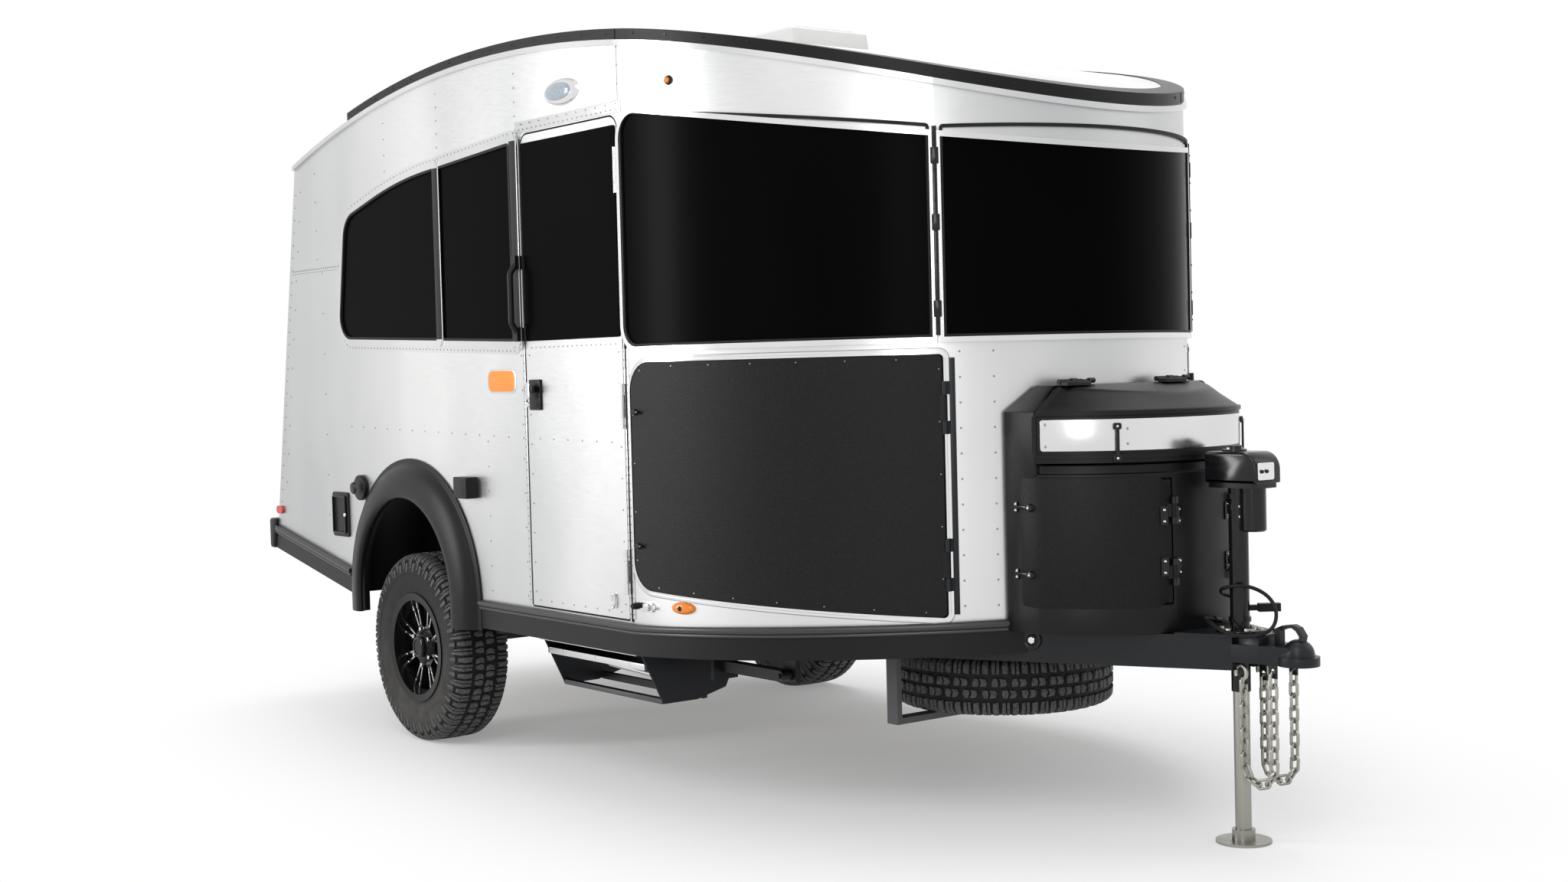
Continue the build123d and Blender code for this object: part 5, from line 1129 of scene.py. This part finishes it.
# reach from the arch's middle, out from the wall
flare_section = [
    (0.540, 0.000), (0.539, 0.007), (0.532, 0.010), (0.524, 0.009), (0.519, 0.012), (0.510, 0.022),
    (0.494, 0.036), (0.470, 0.048), (0.440, 0.056), (0.415, 0.0595), (0.400, 0.0595), (0.390, 0.056),
    (0.3855, 0.048), (0.387, 0.040), (0.393, 0.034), (0.402, 0.020), (0.405, 0.000),
]
flare = bmesh.new()
profile = [flare.verts.new((reach, -HALF_WIDTH - out, 0)) for reach, out in flare_section]
outline = [flare.edges.new(pair) for pair in zip(profile, profile[1:] + profile[:1])]
swept = bmesh.ops.spin(flare, geom=profile + outline, cent=(0, 0, 0), axis=(0, -1, 0), angle=pi, steps=48)
for ends in (outline, chosen(swept["geom_last"], bmesh.types.BMEdge)):
    legs = bmesh.ops.extrude_edge_only(flare, edges=ends)
    feet = chosen(legs["geom"], bmesh.types.BMVert)
    bmesh.ops.translate(flare, vec=(0, 0, FLARE_FOOT - ARCH_HEIGHT), verts=feet)
bmesh.ops.holes_fill(flare, edges=[line for line in flare.edges if line.is_boundary], sides=0)
bmesh.ops.translate(flare, vec=(AXLE, 0, ARCH_HEIGHT), verts=flare.verts)
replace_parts(piece("flares", mirrored(flare), "black_moulding", angle=50), "fender_flares")

# %% [markdown]
# The rub rail is a half-round moulding along the sill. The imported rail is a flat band, so a rounded bead
# is laid on its upper half. The sill climbs a little at the nose and more behind the wheels, and the bead
# follows it.

# %% Rub rail bead
SILL, REAR_START, REAR_SLOPE, NOSE_START, NOSE_SLOPE = 0.600, -0.290, 0.193, 1.600, 0.048
RAIL_OUT = 0.0135


def sill_at(station):
    """Height of the sill at a station."""
    return SILL + max(0.0, REAR_START - station) * REAR_SLOPE + max(0.0, station - NOSE_START) * NOSE_SLOPE


rail = bmesh.new()
for first, last, steps in ((-1.285, -0.545, 12), (0.545, run_to(2.76), 60)):
    runs = [first + (last - first) * k / steps for k in range(steps + 1)]
    for drop, radius, sides in ((0.011, 0.0115, 4), (0.028, 0.0055, 2)):
        line = [wall(run, sill_at(skin(run)[0].x) - drop, RAIL_OUT) for run in runs]
        add(rail, bead(line, radius, sides=sides))
# the bead is a lighter grey than the rail: a painted sheen along its upper half
piece("rub_rail_bead", mirrored(rail), "rail_satin")

# %% [markdown]
# Rivets hold the sheets to the ribs inside, so their rows show where the ribs are. Each row is a straight
# line of heads at an even pitch. Seams between sheets have a close pitch, and ribs a wide one.

# %% Wall rivets
wall_rows = [
    ((-1.262, 0.845), (-0.995, 2.225), 0.055),
    ((-1.212, 0.860), (-0.945, 2.235), 0.13),
    ((-1.050, 1.900), (-0.600, 1.900), 0.020),
    ((-0.520, 1.236), (0.880, 1.206), 0.105),
    ((-0.150, 2.250), (-0.150, 2.440), 0.07),
    ((0.620, 0.640), (0.620, 1.190), 0.09),
    ((0.880, 0.640), (0.880, 1.500), 0.13),
    ((1.553, 2.320), (1.553, 2.500), 0.055),
    ((-0.760, 0.860), (-0.760, 1.880), 0.16),
    ((-0.800, 1.940), (-0.800, 2.300), 0.11),
]
# the heads take the darker aluminium, painted shade of their domes
wall_rivets = rivet_rows(wall, wall_rows, radius=0.0038)
nose_rows = [((run_to(station), 0.62), (run_to(station), 1.47), 0.075) for station in (2.640, 2.700)]
add(wall_rivets, rivet_rows(wall, nose_rows, radius=0.0034))
piece("wall_rivets", mirrored(wall_rivets), "rivet_heads")

# the seams are thin lines of the darker aluminium: painted shade at the laps of the sheets
SEAM, SEAM_RISE = 0.0016, 0.0008
sheet_seams = wrapped(plate(0.445, SEAM, SEAM_RISE), wall, -0.8375, 1.888)
add(sheet_seams, wrapped(plate(SEAM, 0.215, SEAM_RISE), wall, 1.553, 2.4075))
piece("sheet_seams", mirrored(sheet_seams), "rivet_heads")

# %% [markdown]
# The roof's edge trim is a black moulding bolted down through its upper half, over a bright drip rail.
# Both follow the roof's long arc, so the bolts are set along that arc by the station above the axle.

# %% Roof trim bolts
CREST_STATION, CREST_HEIGHT, FRONT_SWEEP, REAR_SWEEP = 0.65, 2.566, 6.727, 5.886
FIRST_BOLT, LAST_BOLT, BOLT_PITCH, TRIM_LIFT = -0.36, 2.80, 0.155, 0.004


def roof_at(station):
    """Height of the roof's edge line over a station."""
    sweep = FRONT_SWEEP if station > CREST_STATION else REAR_SWEEP
    return CREST_HEIGHT - sweep + sqrt(sweep ** 2 - (station - CREST_STATION) ** 2)


trim_bolts, trim_joints = bmesh.new(), bmesh.new()
station = FIRST_BOLT
while station < LAST_BOLT:
    spot = (run_to(station), roof_at(station) + 0.040)
    rivets(trim_bolts, wall, [spot], radius=0.005, rise=0.003, lift=TRIM_LIFT)
    station += BOLT_PITCH
for station in (1.553, 2.70):
    seam = plate(0.003, 0.034, 0.0016)
    add(trim_joints, wrapped(seam, wall, run_to(station), roof_at(station) + 0.036, TRIM_LIFT))
piece("trim_bolts", mirrored(trim_bolts), "gloss_black")
piece("trim_joints", mirrored(trim_joints), "dark_rubber")

# %% [markdown]
# Lamps and fittings are small housings with a lens or a lid. Each gets the piece that gives it away at a
# glance: a rim round the marker lamps, a pale lens in the porch light, a keyhole and a knob on the
# service fittings. An oval lens is turned as a disc one metre across and then drawn to its width and
# height.

# %% Lamps
UPPER_STATION, UPPER_HEIGHT, LOWER_STATION, LOWER_HEIGHT = 1.816, 2.359, 1.820, 0.669
upper_lamp = stand(wall, run_to(UPPER_STATION), UPPER_HEIGHT)
lower_lamp = stand(wall, run_to(LOWER_STATION), LOWER_HEIGHT)
lower_top = stand(wall, run_to(LOWER_STATION), LOWER_HEIGHT, 0.0185)


def oval_dome(section, wide, tall, steps=40):
    """A domed oval from the section of a disc one metre across."""
    dome = turned(section, steps)
    bmesh.ops.scale(dome, vec=(wide, tall, 1), verts=dome.verts)
    return dome


round_lens = turned([(0, 0.012), (0.005, 0.0115), (0.009, 0.009), (0.011, 0.0), (0, 0)], 24)
lower_section = [(0, 0.020), (0.2, 0.0195), (0.38, 0.015), (0.47, 0.008), (0.5, 0.0), (0, 0)]
markers = joined((round_lens, upper_lamp), (oval_dome(lower_section, 0.100, 0.042), lower_lamp))
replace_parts(piece("marker_lenses", mirrored(markers), "amber_lens"), "amber_lamps")
round_rim = turned([(0.0105, 0.0), (0.0105, 0.007), (0.013, 0.008), (0.0165, 0.0), (0.0105, 0)], 24)
rims = joined((round_rim, upper_lamp), (peg(0.009, 0.004, 16, 0.007), lower_top))
piece("marker_rims", mirrored(rims), "gloss_black")

PORCH_STATION, PORCH_HEIGHT = 1.211, 2.395
dome_section = [(0, 0.024), (0.30, 0.022), (0.42, 0.016), (0.48, 0.007), (0.5, 0.0), (0, 0)]
housing = joined((oval_dome(dome_section, 0.220, 0.092, 48), stand(wall, PORCH_STATION, PORCH_HEIGHT)))
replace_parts(piece("porch_housing", housing, "chrome"), "porch_light")
lens_section = [(0, 0.0070), (0.30, 0.0060), (0.46, 0.0030), (0.5, 0.0), (0, 0)]
lens_place = stand(wall, PORCH_STATION, PORCH_HEIGHT, 0.0195)
piece("porch_lens", joined((oval_dome(lens_section, 0.160, 0.062), lens_place)), "pale_lens")

# %% Fittings
CATCH_HEIGHT, SERVICE_OUT = 0.662, 0.0145
catch = joined((plate(0.075, 0.034, 0.006, 0.006, 0.002), stand(wall, run_to(1.640), CATCH_HEIGHT)),
               (plate(0.030, 0.022, 0.016, 0.004, 0.003), stand(wall, run_to(1.655), CATCH_HEIGHT, 0.004)),
               (peg(0.008, 0.012, 16, 0.007, 0.001), stand(wall, run_to(1.690), CATCH_HEIGHT)))
bumper = joined((peg(0.012, 0.030, 16, 0.010, 0.003), stand(wall, run_to(1.598), CATCH_HEIGHT)))
piece("door_catch", catch, "chrome")
piece("door_bumper", bumper, "dark_rubber")

service_rim = rounded([(-0.717, 0.775, 0.022), (-0.567, 0.775, 0.022), (-0.567, 0.961, 0.022),
                       (-0.717, 0.961, 0.022)])
service_line = strip(moved_out(service_rim, -0.018), 0.005, SERVICE_OUT - 0.006, SERVICE_OUT + 0.002, wall)
add(service_line, peg(0.026, 0.008, 24, 0.022, 0.002), stand(wall, -0.438, 0.986, 0.040))
keyhole = joined((peg(0.009, 0.004, 16, 0.008, 0.001), stand(wall, -0.585, 0.868, SERVICE_OUT)))
piece("service_lines", service_line, "gloss_black")
piece("service_keyhole", keyhole, "chrome")

# %% [markdown]
# The box on the tongue is moulded in black plastic. Its lid has a bright blank strip let into the face,
# held down by two strap latches, and its side doors hang on small bolted hinges. The face is an arc with
# flat sides behind it, so its own surface is used to lay these pieces on, with the run counted from the
# middle. The lid is built from rings, down its inside and up its outside, which are bridged. Its top then
# falls a little towards the front.

# %% Box lid
LID_BACK, LID_LOW, LID_TOP, LID_WALL = 2.859 + AXLE, 1.130, 1.360, 0.006
LID_FALL, FALL_START, LID_STEPS = 0.14, 1.282, 48
ARC_END = BOX_ARC * BOX_TURN
# height, inset from the face
lid_outside = [
    (LID_LOW, 0.0), (1.274, 0.0), (FALL_START, 0.003), (1.290, 0.010), (1.304, 0.026), (1.330, 0.057),
    (1.346, 0.075), (1.355, 0.087), (1.359, 0.097), (LID_TOP, 0.107),
]
lid_inside = [(height - LID_WALL, inset + LID_WALL) for height, inset in lid_outside[:0:-1]]
lid_inside.append((LID_LOW, LID_WALL))
lid, last_edges = bmesh.new(), None
for levels, lid_rear in ((lid_inside, LID_BACK + LID_WALL), (lid_outside, LID_BACK)):
    for height, inset in levels:
        ring = []
        for k in range(LID_STEPS + 1):
            point = box_face(ARC_END * (2 * k / LID_STEPS - 1), height, -inset)
            ring.append(lid.verts.new((max(point.x, lid_rear), point.y, point.z)))
        edges = [lid.edges.new((ring[k - 1], ring[k])) for k in range(len(ring))]
        if last_edges:
            bmesh.ops.bridge_loops(lid, edges=edges + last_edges)
        else:
            lid.faces.new(ring)
        last_edges = edges
lid.faces.new(ring)
for vert in lid.verts:
    share = max(0.0, vert.co.z - FALL_START) / (LID_TOP - FALL_START)
    vert.co.z -= LID_FALL * share * (vert.co.x - LID_BACK)
for across_y in (-0.265, 0.165):
    add(lid, plate(0.036, 0.100, 0.012, 0.006, 0.003), at(LID_BACK + 0.022, across_y, LID_TOP - 0.001))
    knuckle = at(LID_BACK - 0.002, across_y - 0.05, LID_TOP + 0.010) @ Matrix.Rotation(-pi / 2, 4, "X")
    add(lid, peg(0.008, 0.100, 16, 0.008), knuckle)
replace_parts(piece("box_lid_shell", lid, "black_moulding", "box_lid", 50), "box_lid")

# %% Box strip and latches
STRIP_LOW, STRIP_HIGH, STRIP_HALF = 1.166, 1.259, BOX_ARC * radians(67.2)
RECESS_LOW, RECESS_HIGH, RECESS_HALF, RECESS_CORNER = 1.150, 1.276, BOX_ARC * radians(69.5), 0.016
SCREW_RUN, STRAP_RUN = BOX_ARC * radians(34), BOX_ARC * radians(38)
blank_strip = plate(2 * STRIP_HALF, STRIP_HIGH - STRIP_LOW, 0.0018, 0.008, 0.0006)
sliced(blank_strip, 0.03)
blank_strip = wrapped(blank_strip, box_face, 0, (STRIP_LOW + STRIP_HIGH) / 2, 0.0004)
piece("box_strip", blank_strip, "bright_aluminium", "box_lid")
recess_path = upright_box(RECESS_HALF, RECESS_LOW, RECESS_HIGH, RECESS_CORNER)
piece("box_strip_frame", strip(recess_path, 0.012, -0.001, 0.005, box_face), "black_moulding", "box_lid")

strip_screws, straps, strap_bolts = (bmesh.new() for k in range(3))
for side in (-1, 1):
    corner_run, strap_run = side * (STRIP_HALF - 0.016), side * STRAP_RUN
    corner_spots = [(corner_run, STRIP_LOW + 0.014), (corner_run, STRIP_HIGH - 0.014)]
    rivets(strip_screws, box_face, corner_spots, radius=0.0045, lift=0.002)
    inner_spots = [(side * SCREW_RUN, 1.186), (side * SCREW_RUN, 1.230)]
    rivets(strip_screws, box_face, inner_spots, radius=0.004, lift=0.002)
    add(straps, plate(0.012, 0.104, 0.007, 0.004, 0.002), stand(box_face, strap_run, 1.186, 0.006))
    for height in (1.238, 1.144):
        add(straps, plate(0.026, 0.020, 0.010, 0.006, 0.002), stand(box_face, strap_run, height, 0.001))
        add(strap_bolts, peg(0.0042, 0.004, 12, 0.0035, 0.001), stand(box_face, strap_run, height, 0.0125))
piece("box_strip_screws", strip_screws, "zinc_steel", "box_lid")
piece("box_strap_latches", straps, "gloss_black", "box_lid")
piece("box_strap_bolts", strap_bolts, "chrome", "box_lid")

# %% Box doors
HINGE_RUN, DOOR_BACK = -BOX_ARC * radians(17.0), -BOX_ARC * radians(69.9) - 0.062
PANEL_LOW, PANEL_HIGH = 0.700, 1.087
LEAF_RUN, PLATE_RUN, KNOB_RUN, PAD_RUN = HINGE_RUN - 0.026, HINGE_RUN + 0.024, -0.562, -0.624
panel_path = rounded([(DOOR_BACK, PANEL_LOW, 0.02), (HINGE_RUN - 0.003, PANEL_LOW, 0.055),
                      (HINGE_RUN - 0.003, PANEL_HIGH, 0.055), (DOOR_BACK, PANEL_HIGH, 0.02)], 0.2)
for side in ("right", "left"):
    panel = outline_plate([tuple(point) for point in panel_path], 0.003, 0.001)
    sliced(panel, 0.03)
    panel = wrapped(panel, box_face)
    leaves, bolts, latches, fixed, fixed_bolts = (bmesh.new() for k in range(5))
    for height in (0.970, 0.818):
        add(leaves, plate(0.026, 0.056, 0.006, 0.004, 0.001), stand(box_face, LEAF_RUN, height, 0.001))
        add(fixed, plate(0.022, 0.056, 0.004, 0.004, 0.001), stand(box_face, PLATE_RUN, height, 0.001))
        for spot in (height - 0.017, height + 0.017):
            rivets(bolts, box_face, [(LEAF_RUN, spot)], radius=0.005, rise=0.004, lift=0.0065)
            rivets(fixed_bolts, box_face, [(PLATE_RUN, spot)], radius=0.005, rise=0.004, lift=0.005)
    for height in (0.998, 0.797):
        add(latches, peg(0.013, 0.013, 20, 0.011, 0.003), stand(box_face, KNOB_RUN, height, 0.003))
        add(latches, plate(0.050, 0.010, 0.006, 0.003, 0.0015), stand(box_face, -0.592, height, 0.0055))
        add(fixed, plate(0.014, 0.032, 0.005, 0.003, 0.001), stand(box_face, PAD_RUN, height))
        rivets(bolts, box_face, [(KNOB_RUN, height)], radius=0.0045, rise=0.003, lift=0.016)
        pad_spots = [(PAD_RUN, height - 0.009), (PAD_RUN, height + 0.009)]
        rivets(fixed_bolts, box_face, pad_spots, radius=0.0045, rise=0.003, lift=0.005)
    door = "box_door_" + side
    door_pieces = [
        ("box_door_skin_", panel, "sparkle_panel", door),
        ("box_hinge_leaves_", leaves, "gloss_black", door),
        ("box_hinge_bolts_", bolts, "chrome", door),
        ("box_turn_latches_", latches, "gloss_black", door),
        ("box_hinge_plates_", fixed, "gloss_black", "trailer"),
        ("box_body_bolts_", fixed_bolts, "chrome", "trailer"),
    ]
    for name, shape, finish, body in door_pieces:
        piece(name + side, on_left(shape) if side == "left" else shape, finish, body)

# %% [markdown]
# Each rail of the tongue has one large bolt in a round recess. The rail runs aslant, so the bolt's place
# is set from the rail's own direction.

# %% Tongue bolts
RAIL_FACE, UP = Vector((0.447, -0.894, 0.0)).normalized(), Vector((0, 0, 1))
on_rail = at(1.695, -0.353, 0.588) @ Matrix((UP.cross(RAIL_FACE), UP, RAIL_FACE)).transposed().to_4x4()
recess_section = [(0.014, -0.002), (0.016, 0.001), (0.024, 0.005), (0.029, 0.004), (0.031, -0.002),
                  (0.014, -0.002)]
recess = joined((turned(recess_section, 32), on_rail), (peg(0.015, 0.003, 24), on_rail @ at(0, 0, -0.002)))
piece("tongue_recesses", mirrored(recess), "gloss_black")
piece("tongue_bolts", mirrored(joined((peg(0.0115, 0.008, 6, 0.011, 0.001), on_rail))), "chrome")

# %% [markdown]
# The jack is a powered screw: a head with its motor and switches, an outer tube through a bolted flange,
# and an inner leg with a foot. Its head is drawn from the side and raised to its width, and the rest is
# pegs, plates and turned rings. The switch plate and the bolts give it its scale.

# %% Jack
JACK, MOTOR, CAP = 3.270 + AXLE, 3.325 + AXLE, 3.260 + AXLE
HEAD_HALF, HEAD_REAR, HEAD_FRONT, HEAD_LOW, HEAD_TOP = 0.058, 2.127, 2.3185, 1.064, 1.156
FLANGE_HEIGHT, TUBE_RADIUS = 0.626, 0.0285
facing_right, facing_left = Matrix.Rotation(pi / 2, 4, "X"), Matrix.Rotation(-pi / 2, 4, "X")
head_path = rounded([(HEAD_REAR, -HEAD_TOP, 0.012), (HEAD_FRONT, -HEAD_TOP, 0.052),
                     (HEAD_FRONT, -HEAD_LOW, 0.004), (HEAD_REAR, -HEAD_LOW, 0.004)], 0.2)
head = outline_plate([tuple(point) for point in head_path], 2 * HEAD_HALF)
bevelled(head, [line for line in head.edges if line.calc_face_angle(0.0) > 1.2], 0.009, 3)
motor = turned([(0, 0), (0.034, 0), (0.038, 0.004), (0.038, 0.130), (0, 0.130)], 40)
jack_body = joined(
    (head, at(0, -HEAD_HALF, 0) @ facing_left),
    (plate(0.180, 0.104, 0.016, 0.014), at(2.222, 0, 1.050)),
    (peg(TUBE_RADIUS, 0.606, 40), at(JACK, 0, 0.449)),
    (peg(0.070, 0.006, 48, edge=0.0015), at(JACK, 0, FLANGE_HEIGHT)),
    (motor, at(MOTOR, 0, 0.923)),
    (plate(0.055, 0.040, 0.110, 0.004), at((JACK + MOTOR) / 2, 0, 0.945)),
    (peg(0.036, 0.007, 32, edge=0.002), at(CAP, 0, 1.155)),
    (peg(0.022, 0.017, 32, edge=0.003), at(CAP, 0, 1.156)))
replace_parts(piece("jack_body", jack_body, "gloss_black"), "tongue_jack")

collars = bmesh.new()
for height, reach in ((0.655, 0.033), (0.985, 0.0325), (1.018, 0.034)):
    ring = turned([(TUBE_RADIUS, 0), (reach, 0), (reach, 0.014), (TUBE_RADIUS, 0.014)], 32)
    add(collars, ring, at(JACK, 0, height))
piece("jack_collars", collars, "gloss_black")
panel_place = at(2.3180, -0.012, 1.100) @ Matrix.Rotation(pi / 2, 4, "Y") @ Matrix.Rotation(pi / 2, 4, "Z")
switch_plate = joined((plate(0.072, 0.050, 0.002, 0.006, 0.0006), panel_place))
piece("jack_switch_plate", switch_plate, "bright_aluminium")
switches, jack_bolts = bmesh.new(), bmesh.new()
for shift in (-0.022, 0.0):
    add(switches, peg(0.006, 0.007, 16, 0.005, 0.001), panel_place @ at(shift, 0, 0.0015))
for across_y in (-0.028, 0.028):
    add(jack_bolts, peg(0.006, 0.006, 6, 0.0055, 0.001), at(CAP, across_y, 1.161))
for height in (0.965, 0.995):
    add(jack_bolts, peg(0.0045, 0.005, 6, 0.004, 0.001), at(JACK + 0.024, -0.0205, height) @ facing_right)
for turn in range(6):
    spot = Matrix.Rotation(radians(60 * turn + 30), 4, "Z") @ at(0.054, 0, 0)
    add(jack_bolts, peg(0.008, 0.007, 6, 0.0075, 0.001), at(JACK, 0, FLANGE_HEIGHT + 0.006) @ spot)
piece("jack_switches", switches, "gloss_black")
piece("jack_flange_bolts", jack_bolts, "zinc_steel")

# %% [markdown]
# The step under the door is a folded steel tray. Thin ribs on its upper tread, a bright strip on each
# nosing and the silver strut beside it are enough to show how it is used.

# %% Entry step
STEP_MIDDLE, STRUT_SIDE = 0.118, -0.80
step_ribs, nosings = bmesh.new(), bmesh.new()
for inset in (0.02, 0.05, 0.08, 0.11):
    add(step_ribs, plate(0.58, 0.008, 0.003, 0.002, 0.001), at(STEP_MIDDLE, -0.945 + inset, 0.4995))
for out_y, height in ((-0.9575, 0.489), (-0.9245, 0.436)):
    add(nosings, plate(0.620, 0.022, 0.004, 0.002, 0.001), at(STEP_MIDDLE, out_y, height) @ facing_right)
    for shift in (-0.218, 0.0, 0.218):
        notch = at(STEP_MIDDLE + shift, out_y - 0.003, height) @ facing_right
        add(nosings, plate(0.003, 0.022, 0.002), notch)
bar_place = at(STEP_MIDDLE, -0.8615, 0.3125) @ facing_right
worn_bar = joined((plate(0.628, 0.017, 0.003, 0.001, 0.001), bar_place))
piece("step_ribs", step_ribs, "black_moulding")
piece("step_nosings", nosings, "bright_aluminium")
piece("step_worn_bar", worn_bar, "grey_steel")
rod_line = [(-0.199, STRUT_SIDE, 0.405), (0.115, STRUT_SIDE, 0.392), (0.435, STRUT_SIDE, 0.378)]
strut = bead(rod_line, 0.0075, sides=3)
add(strut, bead([(0.02, STRUT_SIDE, 0.396), (0.30, STRUT_SIDE, 0.384)], 0.012, sides=3))
piece("step_strut", strut, "chrome")

# %% [markdown]
# Each safety chain ends in a forged hook on the tongue's eye. A hook is a bent round bar, so a bead along
# an open arc gives it at once. A short shank drops from it into the chain's last link.

# %% Chain hooks
HOOK_BAR, HOOK_X, HOOK_Z = 0.0062, 2.246, 0.512
hooks = bmesh.new()
for across_y in (-0.049, 0.049):
    bend = []
    for degrees in range(-60, 211, 15):
        turn = radians(degrees)
        bend.append((HOOK_X + 0.019 * cos(turn), across_y, HOOK_Z + 0.022 * sin(turn)))
    add(hooks, bead(bend, HOOK_BAR, sides=4))
    shank = [(2.2555, across_y, 0.494), (2.250, across_y, 0.478), (2.247, across_y, 0.462)]
    add(hooks, bead(shank, HOOK_BAR, sides=4))
piece("chain_hooks", hooks, "zinc_steel")

# %% [markdown]
# On the roof stand an air conditioner and a vent. Both are white mouldings. Dark louvres on the
# conditioner's rear face and a raised lid on the vent tell them apart from plain boxes.

# %% Roof units
REAR_FACE, FACE_FOOT, FACE_LEAN = -1.2945, 2.546, radians(10)
LOUVRE_LOW, LOUVRE_PITCH, VENT = 2.630, 0.022, 0.1875
facing_back = Matrix.Rotation(-pi / 2 + FACE_LEAN, 4, "Y") @ Matrix.Rotation(-pi / 2, 4, "Z")
louvres = bmesh.new()
for k in range(5):
    height = LOUVRE_LOW + LOUVRE_PITCH * k
    x = REAR_FACE + (height - FACE_FOOT) * tan(FACE_LEAN)
    add(louvres, plate(0.420, 0.010, 0.003, 0.003, 0.001), at(x, 0, height) @ facing_back)
vent_lid = joined((plate(0.300, 0.300, 0.014, 0.030, 0.006), at(VENT, 0, 2.652)))
for k in range(-3, 4):
    add(vent_lid, plate(0.240, 0.010, 0.004, 0.003, 0.002), at(VENT, 0.032 * k, 2.664))
piece("conditioner_louvres", louvres, "dark_strip")
piece("vent_lid", vent_lid, "white_plastic")

# %% [markdown]
# The rear has a lift-up hatch with its own window, lamps above the bumper, and the same riveted sheet as
# the sides. Its surface leans, so pieces for it are laid on the leaning plane.

# %% Rear wall
REAR_HALF, REAR_CORNER, GLASS_HALF, GLASS_CORNER = 0.56, 0.054, 0.47, 0.04
rear_edge = upright_box(REAR_HALF, 0.98, 2.02, REAR_CORNER)
glass_edge = upright_box(GLASS_HALF, 1.56, 1.93, GLASS_CORNER)
surround = strip(moved_out(rear_edge, 0.014), 0.016, 0.0, 0.004, rear)
piece("rear_hatch_surround", surround, "bright_aluminium")
rear_rows = [((-0.94, 0.85), (-0.94, 2.26), 0.055), ((0.94, 0.85), (0.94, 2.26), 0.055),
             ((-0.90, 2.20), (0.90, 2.20), 0.09)]
rear_rivets = rivet_rows(rear, rear_rows, radius=0.0038)
rivets(rear_rivets, rear, spaced(moved_out(rear_edge, 0.040), 0.055), radius=0.0038)
hatch_rivets = bmesh.new()
rivets(hatch_rivets, rear, spaced(moved_out(rear_edge, -0.024), 0.075), radius=0.0036)
piece("rear_wall_rivets", rear_rivets, "rivet_heads")
piece("rear_hatch_rivets", hatch_rivets, "rivet_heads", "rear_hatch")
glass_gasket = strip(moved_out(glass_edge, 0.006), 0.014, 0.0, 0.004, rear)
piece("rear_glass_gasket", glass_gasket, "dark_rubber", "rear_hatch")
